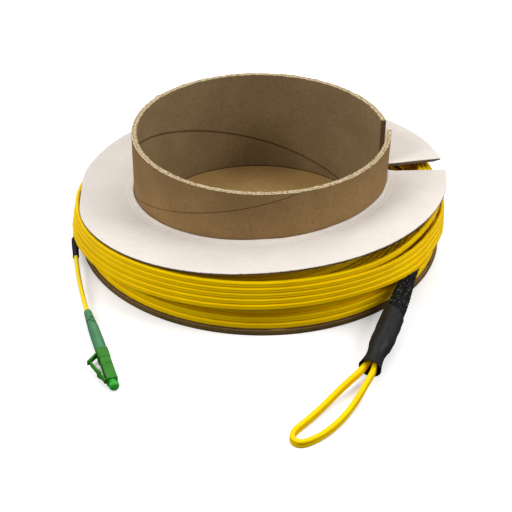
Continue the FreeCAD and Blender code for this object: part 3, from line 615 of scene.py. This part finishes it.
def flat_profile(name, tall, thick, corner, notch):
    """The cable's section as a closed outline: rounded corners and a notch in each broad side."""
    half_tall, half_thick = tall / 2, thick / 2
    soft = corner * CORNER_SOFT
    quarter = [
        (half_thick - notch, 0), (half_thick, NOTCH_HALF), (half_thick, half_tall - corner),
        (half_thick - soft, half_tall - soft), (half_thick - corner, half_tall),
    ]
    upper = quarter + [(-x, y) for x, y in quarter[::-1]]
    outline = [(x, -y) for x, y in upper] + upper[::-1][1:-1]
    curve = bpy.data.curves.new(name, "CURVE")
    curve.dimensions = "2D"
    spline = curve.splines.new("POLY")
    spline.points.add(len(outline) - 1)
    for point, (x, y) in zip(spline.points, outline):
        point.co = (x, y, 0, 1)
    spline.use_cyclic_u = True
    section = bpy.data.objects.new(name, curve)
    bpy.context.collection.objects.link(section)
    section.hide_render = True
    return section


def flat_cord(name, points_mm, section):
    """A cord of flat cable that stands on its narrow side."""
    piece = route_curve(name, points_mm, yellow_jacket)
    piece.data.twist_mode = "Z_UP"
    piece.data.bevel_mode = "OBJECT"
    piece.data.bevel_object = section
    piece.data.use_fill_caps = True
    return piece


wound_section = flat_profile("wound_section", CABLE_TALL, CABLE_THICK, CABLE_CORNER, NOTCH)
flat_cable = flat_cord("flat_cable", LEFT_LEAD + winding_points() + RIGHT_LEAD[::-1], wound_section)
flat_cable.data.resolution_u = 2
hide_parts("cable_winding", "left_lead", "right_lead")


# Left sleeve. Black heat-shrink tube over the place where the flat jacket is split off and the round
# leg takes over: it takes the flat cable's oval, then draws in to the leg.
SLEEVE_START = 2.6
SLEEVE_LENGTH = 17.0
SLEEVE_STEPS = 34
SLEEVE_RADIUS = 2.06
SLEEVE_DRAW = 0.6
SLEEVE_NECK = (8.2, 12.0)
SLEEVE_OVAL = 0.22
SLEEVE_WALL = 0.3
SLEEVE_PLACE = (-87.95, -16.85, 5.2)
SLEEVE_FORWARD = (0.1581, -0.9873, -0.0166)


def shrink_material(name, tone, shine, lump_mm):
    """Heat-shrunk polyolefin: black, satin, with the soft lumps of what lies under it."""
    material, tree, shader = start_material(name, Roughness=shine, Specular_IOR_Level=0.22)
    place = add_node(tree, "ShaderNodeTexCoord").outputs["Object"]
    lumps = add_node(tree, "ShaderNodeTexNoise", {"Vector": place, "Scale": 1 / (lump_mm * MM), "Detail": 2})
    ramp = add_node(tree, "ShaderNodeValToRGB", {"Fac": lumps.outputs["Fac"]})
    ramp.color_ramp.elements[0].position = 0.3
    ramp.color_ramp.elements[0].color = linear(tone[0])
    ramp.color_ramp.elements[1].position = 0.7
    ramp.color_ramp.elements[1].color = linear(tone[1])
    tree.links.new(ramp.outputs["Color"], shader.inputs["Base Color"])
    grain = add_node(tree, "ShaderNodeTexNoise", {"Vector": place, "Scale": 1 / (0.5 * MM), "Detail": 3})
    mixed = add_node(
        tree, "ShaderNodeMath", {0: lumps.outputs["Fac"], 1: grain.outputs["Fac"]}, operation="MULTIPLY"
    )
    relief = add_node(
        tree, "ShaderNodeBump", {"Height": mixed.outputs[0], "Distance": 0.15 * MM, "Strength": 0.5}
    )
    tree.links.new(relief.outputs["Normal"], shader.inputs["Normal"])
    return material


def turned(profile, segments=48):
    """A closed skin turned about X from (along, radius) points in millimetres."""
    bm = bmesh.new()
    verts = [bm.verts.new((along * MM, 0, radius * MM)) for along, radius in profile]
    edges = [bm.edges.new(pair) for pair in zip(verts, verts[1:])]
    bmesh.ops.spin(
        bm, geom=verts + edges, cent=(0, 0, 0), axis=(1, 0, 0), angle=2 * math.pi, steps=segments,
        use_merge=True,
    )
    bmesh.ops.remove_doubles(bm, verts=bm.verts, dist=0.2 * WELD)
    bmesh.ops.recalc_face_normals(bm, faces=bm.faces)
    return bm


def laid(place, forward, up=(0, 0, 1)):
    """Matrix that lays a piece's X axis along forward and its Z axis as near as it goes to up."""
    ahead = Vector(forward).normalized()
    top = Vector(up)
    top = (top - ahead * top.dot(ahead)).normalized()
    turn = Matrix((ahead, top.cross(ahead), top)).transposed()
    return Matrix.Translation(Vector(place) * MM) @ turn.to_4x4()


def clad(material, *names):
    """Give CAD nodes that are shown as they are their real material."""
    for name in names:
        nodes[name].data.materials.clear()
        nodes[name].data.materials.append(material)


# Thin heat-shrink is a cool black with a tight satin shine.
thin_shrink = shrink_material("thin heat-shrink", ("#100E14", "#1A1720"), 0.4, 3.0)

sleeve_outline = []
for step in range(SLEEVE_STEPS + 1):
    along = SLEEVE_START + (SLEEVE_LENGTH - SLEEVE_START) * step / SLEEVE_STEPS
    sleeve_outline.append((along, SLEEVE_RADIUS - SLEEVE_DRAW * eased(along, *SLEEVE_NECK)))
sleeve_inner = [(along, radius - SLEEVE_WALL) for along, radius in sleeve_outline[::-1]]
bm = turned(sleeve_outline + sleeve_inner + sleeve_outline[:1], segments=32)
for vert in bm.verts:
    vert.co.y *= 1 - SLEEVE_OVAL * (1 - eased(vert.co.x / MM, *SLEEVE_NECK))
bmesh.ops.transform(bm, matrix=laid(SLEEVE_PLACE, SLEEVE_FORWARD), verts=bm.verts)
left_sleeve = keep_mesh(bm, "left_sleeve_tube", [thin_shrink])
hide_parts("left_sleeve")
clad(thin_shrink, "right_sleeve")


# Left plug, its crimped core. The fibre ends in a polished ceramic ferrule in a steel holder, pushed
# forward by a spring that bears on the brass crimp post; a brass ring crimps the leg onto that post.
PLUG_PLACE = (-66.16, -101.75, 2.57)
PLUG_HEADING = math.radians(18.26)
PLUG_FORWARD = (math.sin(PLUG_HEADING), -math.cos(PLUG_HEADING), 0)
PLUG_LATCH_SIDE = (-math.cos(PLUG_HEADING), -math.sin(PLUG_HEADING), 0)
FINE_WELD = 0.004 * MM
plug_laid = laid(PLUG_PLACE, PLUG_FORWARD, PLUG_LATCH_SIDE)


def metal_material(name, tone, roughness, scratch_mm):
    """Plain machined or drawn metal with fine marks that change its shine."""
    material, tree, shader = start_material(name, Metallic=1.0, Base_Color=linear(tone))
    place = add_node(tree, "ShaderNodeTexCoord").outputs["Object"]
    marks = add_node(
        tree, "ShaderNodeTexNoise", {"Vector": place, "Scale": 1 / (scratch_mm * MM), "Detail": 4}
    )
    shine = add_node(
        tree, "ShaderNodeMapRange",
        {"Value": marks.outputs["Fac"], "To Min": roughness - 0.08, "To Max": roughness + 0.1},
    )
    tree.links.new(shine.outputs["Result"], shader.inputs["Roughness"])
    return material


def moulded_material(name, tone, shade, roughness, **sockets):
    """Moulded plastic: even colour with faint flow marks and a fine satin grain."""
    material, tree, shader = start_material(name, Roughness=roughness, **sockets)
    place = add_node(tree, "ShaderNodeTexCoord").outputs["Object"]
    flow = add_node(tree, "ShaderNodeTexNoise", {"Vector": place, "Scale": 1 / (4 * MM), "Detail": 3})
    ramp = add_node(tree, "ShaderNodeValToRGB", {"Fac": flow.outputs["Fac"]})
    ramp.color_ramp.elements[0].position = 0.35
    ramp.color_ramp.elements[0].color = linear(shade)
    ramp.color_ramp.elements[1].position = 0.65
    ramp.color_ramp.elements[1].color = linear(tone)
    tree.links.new(ramp.outputs["Color"], shader.inputs["Base Color"])
    grain = add_node(tree, "ShaderNodeTexNoise", {"Vector": place, "Scale": 1 / (0.15 * MM), "Detail": 2})
    relief = add_node(
        tree, "ShaderNodeBump", {"Height": grain.outputs["Fac"], "Distance": 0.01 * MM, "Strength": 0.4}
    )
    tree.links.new(relief.outputs["Normal"], shader.inputs["Normal"])
    return material


# Brass is a dull gold and the spring a bright grey; the ferrule is glossy off-white ceramic.
crimp_brass = metal_material("crimp brass", "#C7A765", 0.35, 0.4)
spring_steel = metal_material("spring steel", "#A8A9AD", 0.3, 0.3)
ferrule_ceramic = moulded_material("zirconia ceramic", "#F0EEEA", "#E6E3DE", 0.15)
for side in ("left", "right"):
    clad(crimp_brass, f"{side}_plug_crimp_ring", f"{side}_plug_crimp_post")
    clad(spring_steel, f"{side}_plug_ferrule_holder")
    clad(ferrule_ceramic, f"{side}_plug_ferrule")
clad(spring_steel, "right_plug_spring")

# In the real plug the spring's rear end stays on the post and its front end goes with the holder, so it
# shortens; here it is a merged copy of the CAD spring, baked in place and riding on no body.
bm = bmesh.new()
bm.from_mesh(nodes["left_plug_spring"].data)
bmesh.ops.remove_doubles(bm, verts=bm.verts, dist=FINE_WELD)
left_spring = keep_mesh(bm, "left_spring_wire", [spring_steel], body=None)
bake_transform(left_spring)
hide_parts("left_plug_spring")


# Left plug, housings. Two green mouldings that snap together over the core: the front one is the
# square nose with a snap window in each side and a springy latch arm; the rear one carries the
# trigger arm, whose tip lies over the latch's so that a thumb presses both.
EDGE_ROUND = 0.2 * MM
FLUSH_ANGLE = math.radians(1)
MOULDING_BODIES = {
    "rear_housing": "spool", "front_housing": "spool", "latch": "left_latch", "trigger": "left_trigger",
}

# The housings are a deep, even green with little shine.
plug_plastic = moulded_material("green moulded plastic", "#357F24", "#2D731E", 0.4, Specular_IOR_Level=0.15)


def softened(node):
    """A merged copy of a CAD node with its sharp edges rounded as moulding leaves them."""
    bm = bmesh.new()
    bm.from_mesh(node.data)
    bmesh.ops.remove_doubles(bm, verts=bm.verts, dist=FINE_WELD)
    bmesh.ops.dissolve_limit(bm, angle_limit=FLUSH_ANGLE, verts=bm.verts, edges=bm.edges)
    sharp = [edge for edge in bm.edges if len(edge.link_faces) == 2 and edge.calc_face_angle() > SMOOTH_ANGLE]
    bmesh.ops.bevel(
        bm, geom=sharp, offset=EDGE_ROUND, segments=2, profile=0.5, affect="EDGES", clamp_overlap=True,
        material=-1,
    )
    return bm


for part, body in MOULDING_BODIES.items():
    bm = softened(nodes[f"left_plug_{part}"])
    moulding = keep_mesh(bm, f"left_{part}_moulding", [plug_plastic], body)
    even_shading(moulding)
    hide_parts(f"left_plug_{part}")
    clad(plug_plastic, f"right_plug_{part}")


# Left plug, boot. A soft green strain relief pushed over the crimp ring: a long cone, cut by short
# slots from alternate sides near its tail so that it bends with the leg.
BOOT_LENGTH = 29.7
BOOT_BORE = 1.15
RING_SOCKET = 10.35
RING_SOCKET_RADIUS = 1.6
TAPER_START = 16.0
TAPER_RADIUS = 2.4
TAPER_FALL = 0.75
BOOT_SLOTS = [(-19.3, -1), (-21.0, 1), (-22.7, -1)]
BOOT_SLOT_WIDTH = 0.8
BOOT_SLOT_DEPTH = 0.75
BOOT_SPINE = -0.6
BOOT_SKIN = 1.5

# Soft rubber is a bluer, duller green than the housings.
boot_rubber = moulded_material("green soft rubber", "#45845A", "#3D784E", 0.5)

boot_outline = [
    (0.0, RING_SOCKET_RADIUS), (0.0, 2.45), (-0.1, 2.55), (-3.0, 2.56), (-9.0, 2.53),
    (-TAPER_START, TAPER_RADIUS),
]
for start, _ in BOOT_SLOTS:
    for along in (start, start - BOOT_SLOT_WIDTH):
        narrowed = TAPER_FALL * (-TAPER_START - along) / (BOOT_LENGTH - TAPER_START)
        boot_outline.append((along, TAPER_RADIUS - narrowed))
boot_outline += [
    (-29.2, 1.68), (-29.6, 1.6), (-BOOT_LENGTH, 1.45), (-BOOT_LENGTH, BOOT_BORE), (-RING_SOCKET, BOOT_BORE),
    (-RING_SOCKET, RING_SOCKET_RADIUS), (0.0, RING_SOCKET_RADIUS),
]
bm = turned(boot_outline)
for start, side in BOOT_SLOTS:
    low, high = (start - BOOT_SLOT_WIDTH) * MM, start * MM
    floor_faces = []
    for face in bm.faces:
        middle = face.calc_center_median()
        outer = math.hypot(middle.y, middle.z) > BOOT_SKIN * MM
        if low < middle.x < high and outer and middle.z * side > BOOT_SPINE * MM:
            floor_faces.append(face)
    sunk = bmesh.ops.extrude_face_region(bm, geom=floor_faces)
    bmesh.ops.delete(bm, geom=floor_faces, context="FACES_ONLY")
    for vert in new_verts(sunk):
        inward = 1 - BOOT_SLOT_DEPTH * MM / math.hypot(vert.co.y, vert.co.z)
        vert.co.y *= inward
        vert.co.z *= inward
bmesh.ops.recalc_face_normals(bm, faces=bm.faces)
bmesh.ops.transform(bm, matrix=plug_laid, verts=bm.verts)
left_boot = keep_mesh(bm, "left_boot_rubber", [boot_rubber])
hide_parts("left_plug_boot")
clad(boot_rubber, "right_plug_boot")


# Left plug, dust cap. A soft bright green bung whose hollow stem plugs the nose round the ferrule;
# it pulls straight off by its rounded head.
CAP_HEAD_RADIUS = 2.15
CAP_DOME_START = 23.6
CAP_DOME_ROUND = 1.3
CAP_DOME_STEPS = 8

# Soft plastic lets a little light in, which makes its bright green glow.
cap_plastic = moulded_material(
    "bright green soft plastic", "#2AA928", "#249E22", 0.35, Subsurface_Weight=0.2, Subsurface_Scale=1.0 * MM
)

cap_outline = [
    (23.3, 0.0), (23.3, 0.725), (16.2, 0.725), (16.2, 1.5), (16.3, 1.6), (20.95, 1.6), (20.95, 1.75),
    (22.45, 1.75), (22.55, 1.8), (22.6, 1.95), (22.67, 2.08), (22.8, CAP_HEAD_RADIUS),
    (CAP_DOME_START, CAP_HEAD_RADIUS),
]
for step in range(1, CAP_DOME_STEPS + 1):
    angle = math.radians(90 * step / CAP_DOME_STEPS)
    along = CAP_DOME_START + CAP_DOME_ROUND * math.sin(angle)
    cap_outline.append((along, CAP_HEAD_RADIUS - CAP_DOME_ROUND * (1 - math.cos(angle))))
cap_outline.append((CAP_DOME_START + CAP_DOME_ROUND, 0.0))
bm = turned(cap_outline)
bmesh.ops.transform(bm, matrix=plug_laid, verts=bm.verts)
left_cap = keep_mesh(bm, "left_cap_bung", [cap_plastic], "left_cap")
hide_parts("left_plug_dust_cap")
clad(cap_plastic, "right_plug_dust_cap")


# Left leg. A round two-millimetre leg in an extruded jacket carries the fibre from the sleeve, which
# grips its one end, into the plug's boot, where the crimp ring holds the other.
LEG_RADIUS = 1.0
LEFT_LEG = [
    (-86.52, -25.74, 5.05), (-85.1, -34.6, 4.9), (-83.2, -44.4, 4.35), (-80.8, -54.7, 3.6),
    (-78.5, -63.4, 3.0), (-76.81, -69.46, 2.57), (-67.91, -96.43, 2.57),
]

# The leg's jacket is a paler, cooler yellow than the flat cable's.
lemon_jacket = jacket_material("lemon leg jacket", "#FFE426", "#FADB18")

left_leg = route_curve("round_leg", LEFT_LEG, lemon_jacket)
left_leg.data.bevel_depth = LEG_RADIUS
left_leg.data.bevel_resolution = 4
left_leg.data.resolution_u = 8
left_leg.data.use_fill_caps = True
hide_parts("left_leg")
clad(lemon_jacket, "right_leg")
cable_length(left_leg)


# Pulling sock. A tube braided from black plastic filaments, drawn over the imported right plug, its boot
# and its sleeve; it narrows onto the cable, where it slips under the slack band of the winding.
SOCK_MOUTH = (45.7, -114.1, 5.0)
SOCK_FORWARD = (0.35008, 0.92696, 0.13485)
SOCK_START = 30.0
SOCK_END = 67.5
SOCK_PROFILE = [
    (SOCK_START, 4.3), (37.0, 4.35), (44.0, 4.15), (50.0, 3.65), (56.0, 3.15), (62.0, 2.85), (SOCK_END, 2.7),
]
SOCK_SINK = 0.3
SOCK_SINK_RUN = (46, 62)
SOCK_BOW = 0.5
SOCK_BOW_RUN = 60
CARRIERS = 24
FILAMENT_RADIUS = 0.22
PAINTED_GLINT_SPACING = 0.9
WEAVE_LIFT = 0.28
WEAVE_STEPS = 3
LAY_PER_MM = 0.26
sock_laid = laid(SOCK_MOUTH, SOCK_FORWARD)

# The braid is a deep black with pale specks of painted highlight in its colour, set by noise, not by light.
# Real filaments and their highlights are finer: both are drawn as coarse as they need to be to show.
black_filament, tree, shader = start_material("black braided filament", Roughness=0.5, Specular_IOR_Level=0.2)
place = add_node(tree, "ShaderNodeTexCoord").outputs["Object"]
painted_glint_noise = add_node(
    tree, "ShaderNodeTexNoise", {"Vector": place, "Scale": 1 / (PAINTED_GLINT_SPACING * MM), "Detail": 2}
)
# Painted highlights: where the noise peaks, the black filament's colour turns pale grey.
ramp = add_node(tree, "ShaderNodeValToRGB", {"Fac": painted_glint_noise.outputs["Fac"]})
ramp.color_ramp.elements[0].position = 0.59
ramp.color_ramp.elements[0].color = linear("#020202")
ramp.color_ramp.elements[1].position = 0.66
ramp.color_ramp.elements[1].color = linear("#76787C")
tree.links.new(ramp.outputs["Color"], shader.inputs["Base Color"])


def along_profile(profile, along):
    """Radius at a place along a list of (along, radius) points."""
    for (first, low), (second, high) in zip(profile, profile[1:]):
        if along <= second:
            return low + (high - low) * (along - first) / (second - first)
    return profile[-1][1]


def bowed(along):
    """Sideways bow of sock and shrink sleeve in millimetres, to the right."""
    return -SOCK_BOW * math.sin(math.pi * min(along / SOCK_BOW_RUN, 1.0))


braid = bpy.data.curves.new("sock_braid", "CURVE")
braid.dimensions = "3D"
braid.bevel_depth = FILAMENT_RADIUS
braid.bevel_resolution = 1
braid.use_fill_caps = True
weave_pitch = math.pi / CARRIERS / LAY_PER_MM
weave_count = int((SOCK_END - SOCK_START) / weave_pitch * WEAVE_STEPS)
for turn in (1, -1):
    for carrier in range(CARRIERS):
        spline = braid.splines.new("POLY")
        spline.points.add(weave_count)
        for step, point in enumerate(spline.points):
            along = SOCK_START + (SOCK_END - SOCK_START) * step / weave_count
            radius = along_profile(SOCK_PROFILE, along)
            angle = 2 * math.pi * carrier / CARRIERS + turn * LAY_PER_MM * (along - SOCK_START)
            over = math.sin(math.pi * step / WEAVE_STEPS / 2 + math.pi / 2 * (turn + carrier * 2))
            radius += turn * WEAVE_LIFT * over - WEAVE_LIFT
            across = radius * math.cos(angle) + bowed(along)
            up = radius * math.sin(angle) - SOCK_SINK * eased(along, *SOCK_SINK_RUN)
            point.co = (sock_laid @ (Vector((along, across, up)) * MM)).to_4d()
            point.radius = MM
braid.materials.append(black_filament)
pull_sock = bpy.data.objects.new("pull_sock_braid", braid)
bpy.context.collection.objects.link(pull_sock)
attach(pull_sock, "spool")
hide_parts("pull_sock")


# Pulling sleeve. Thick black heat-shrink over the sock's lower half; it grips the square plug inside,
# necks in over the loop's two ends and flares to an open mouth. Its upper edge is cut aslant.
SHRINK_WALL = 0.42
SHRINK_PROFILE = [
    (0.0, 4.9), (0.6, 4.75), (2.5, 4.3), (4.5, 4.05), (6.5, 3.95), (8.5, 3.95), (10.3, 4.1), (11.6, 4.35),
    (12.8, 4.7), (14.2, 4.9), (17.0, 5.0), (21.0, 4.92), (25.0, 5.0), (29.0, 4.95), (32.0, 4.97),
    (33.6, 4.95), (34.0, 4.85),
]
SHRINK_INNER_EDGE = 33.7
SHRINK_SLANT = 2.2
SLANT_RUN = (22, 34)
SLANT_RADIUS = 5
GRIP_RISE = (13, 17)
GRIP_FALL = (27, 33)
GRIP_SQUARE = 0.16
LUMP = 0.22
LUMP_LENGTH = 5
LUMP_ROUND = 0.8
LONGEST_FACE = 1.5 * MM

# Thick heat-shrink is a softer, more neutral black than the thin one.
thick_shrink = shrink_material("thick heat-shrink", ("#161617", "#1E1E1E"), 0.5, 5.0)

inside = [(along, radius - SHRINK_WALL) for along, radius in SHRINK_PROFILE[::-1]]
inside[0] = (SHRINK_INNER_EDGE, SHRINK_PROFILE[-2][1] - SHRINK_WALL)
bm = turned(SHRINK_PROFILE + inside + SHRINK_PROFILE[:1], segments=64)
long_edges = [edge for edge in bm.edges if abs(edge.verts[0].co.x - edge.verts[1].co.x) > LONGEST_FACE]
bmesh.ops.subdivide_edges(bm, edges=long_edges, cuts=2, smooth=0)
for vert in bm.verts:
    along, across, up = vert.co / MM
    radius = math.hypot(across, up)
    angle = math.atan2(up, across)
    gripped = eased(along, *GRIP_RISE) * (1 - eased(along, *GRIP_FALL))
    radius += GRIP_SQUARE * gripped * math.cos(4 * angle)
    around = Vector((along / LUMP_LENGTH, math.cos(angle) * LUMP_ROUND, math.sin(angle) * LUMP_ROUND))
    radius += LUMP * noise.noise(around)
    across = radius * math.cos(angle)
    slant = SHRINK_SLANT * across / SLANT_RADIUS * eased(along, *SLANT_RUN)
    vert.co = Vector((along + slant, across + bowed(along), radius * math.sin(angle))) * MM
bmesh.ops.transform(bm, matrix=sock_laid, verts=bm.verts)
pull_shrink = keep_mesh(bm, "pull_shrink_tube", [thick_shrink])
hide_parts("pull_shrink")


# Pull loop. A length of the same flat cable, bent back on itself with both ends caught under the shrink
# sleeve. It is not pressed by other turns, so it keeps its full height and its split line shows.
LOOP_TALL = 3.3
LOOP_THICK = 2.1
LOOP_CORNER = 0.45
LOOP_NOTCH = 0.25
PULL_LOOP = [
    (47.07, -107.19, 5.95), (43.8, -113.9, 4.9), (34.4, -124.2, 3.4), (23.9, -138.4, 2.2),
    (17.4, -145.8, 1.75), (13.8, -150.0, 1.65), (12.6, -154.4, 1.65), (15.6, -157.4, 1.65),
    (20.6, -155.4, 1.65), (27.3, -149.9, 1.65), (34.0, -141.3, 1.85), (39.4, -132.0, 2.6),
    (43.6, -123.2, 3.6), (47.5, -115.4, 4.9), (49.23, -108.01, 5.95),
]

loop_section = flat_profile("loop_section", LOOP_TALL, LOOP_THICK, LOOP_CORNER, LOOP_NOTCH)
pull_loop = flat_cord("pull_loop_cable", PULL_LOOP, loop_section)
pull_loop.data.resolution_u = 8
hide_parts("pull_loop")
cable_length(pull_loop)


# Camera, floor and light. The camera looks down on the near side, at the photograph's angle. The floor
# is a sheet that looks white to the camera and throws little light back; three soft lamps stand round it.
CAMERA_EYE = Vector((-1.61, -521.1, 330.0)) * MM
CAMERA_AIM = Vector((-1.61, 0, -15.95)) * MM
CAMERA_ROLL = 0.0092
LAMP_AIM = Vector((0, 0, 0.02))

camera = bpy.data.objects.new("camera", bpy.data.cameras.new("camera"))
bpy.context.collection.objects.link(camera)
camera.data.sensor_width = 36
camera.data.lens = 88.61
look = (CAMERA_AIM - CAMERA_EYE).to_track_quat("-Z", "Y").to_matrix() @ Matrix.Rotation(CAMERA_ROLL, 3, "Z")
camera.matrix_world = Matrix.Translation(CAMERA_EYE) @ look.to_4x4()
bpy.context.scene.camera = camera

floor_white, tree, shader = start_material("white paper floor", Roughness=0.9, Base_Color=linear("#585858"))
sheet = add_node(tree, "ShaderNodeBsdfDiffuse", {"Color": linear("#F8F8F8")})
glow = add_node(tree, "ShaderNodeEmission", {"Strength": 0.3})
paper = add_node(tree, "ShaderNodeAddShader", {0: sheet.outputs[0], 1: glow.outputs[0]})
rays = add_node(tree, "ShaderNodeLightPath")
seen = add_node(
    tree, "ShaderNodeMixShader", {0: rays.outputs["Is Camera Ray"], 1: shader.outputs[0], 2: paper.outputs[0]}
)
tree.links.new(seen.outputs[0], tree.nodes["Material Output"].inputs["Surface"])
bm = bmesh.new()
bmesh.ops.create_grid(bm, x_segments=1, y_segments=1, size=3)
floor_mesh = bpy.data.meshes.new("floor")
bm.to_mesh(floor_mesh)
bm.free()
floor_mesh.materials.append(floor_white)
floor = bpy.data.objects.new("floor", floor_mesh)
bpy.context.collection.objects.link(floor)

world = bpy.data.worlds.new("studio")
world.use_nodes = True
sky = world.node_tree.nodes["Background"]
sky.inputs["Color"].default_value = (1, 1, 1, 1)
rays = add_node(world.node_tree, "ShaderNodeLightPath")
strength = add_node(
    world.node_tree, "ShaderNodeMapRange",
    {"Value": rays.outputs["Is Camera Ray"], "To Min": 0.28, "To Max": 1.0},
)
world.node_tree.links.new(strength.outputs["Result"], sky.inputs["Strength"])
bpy.context.scene.world = world

for name, place, size, watts in (
    ("overhead", (0, 0.65, 1.1), 1.2, 9.0),
    ("left box", (-1.15, -0.42, 0.95), 0.8, 14.2),
    ("right box", (1.15, -0.3, 0.95), 0.8, 14.2),
):
    lamp = bpy.data.lights.new(name, "AREA")
    lamp.size = size
    lamp.energy = watts
    lamp_object = bpy.data.objects.new(name, lamp)
    lamp_object.location = place
    lamp_object.rotation_euler = (LAMP_AIM - Vector(place)).to_track_quat("-Z", "Y").to_euler()
    bpy.context.collection.objects.link(lamp_object)

bpy.context.scene.view_settings.view_transform = "Standard"
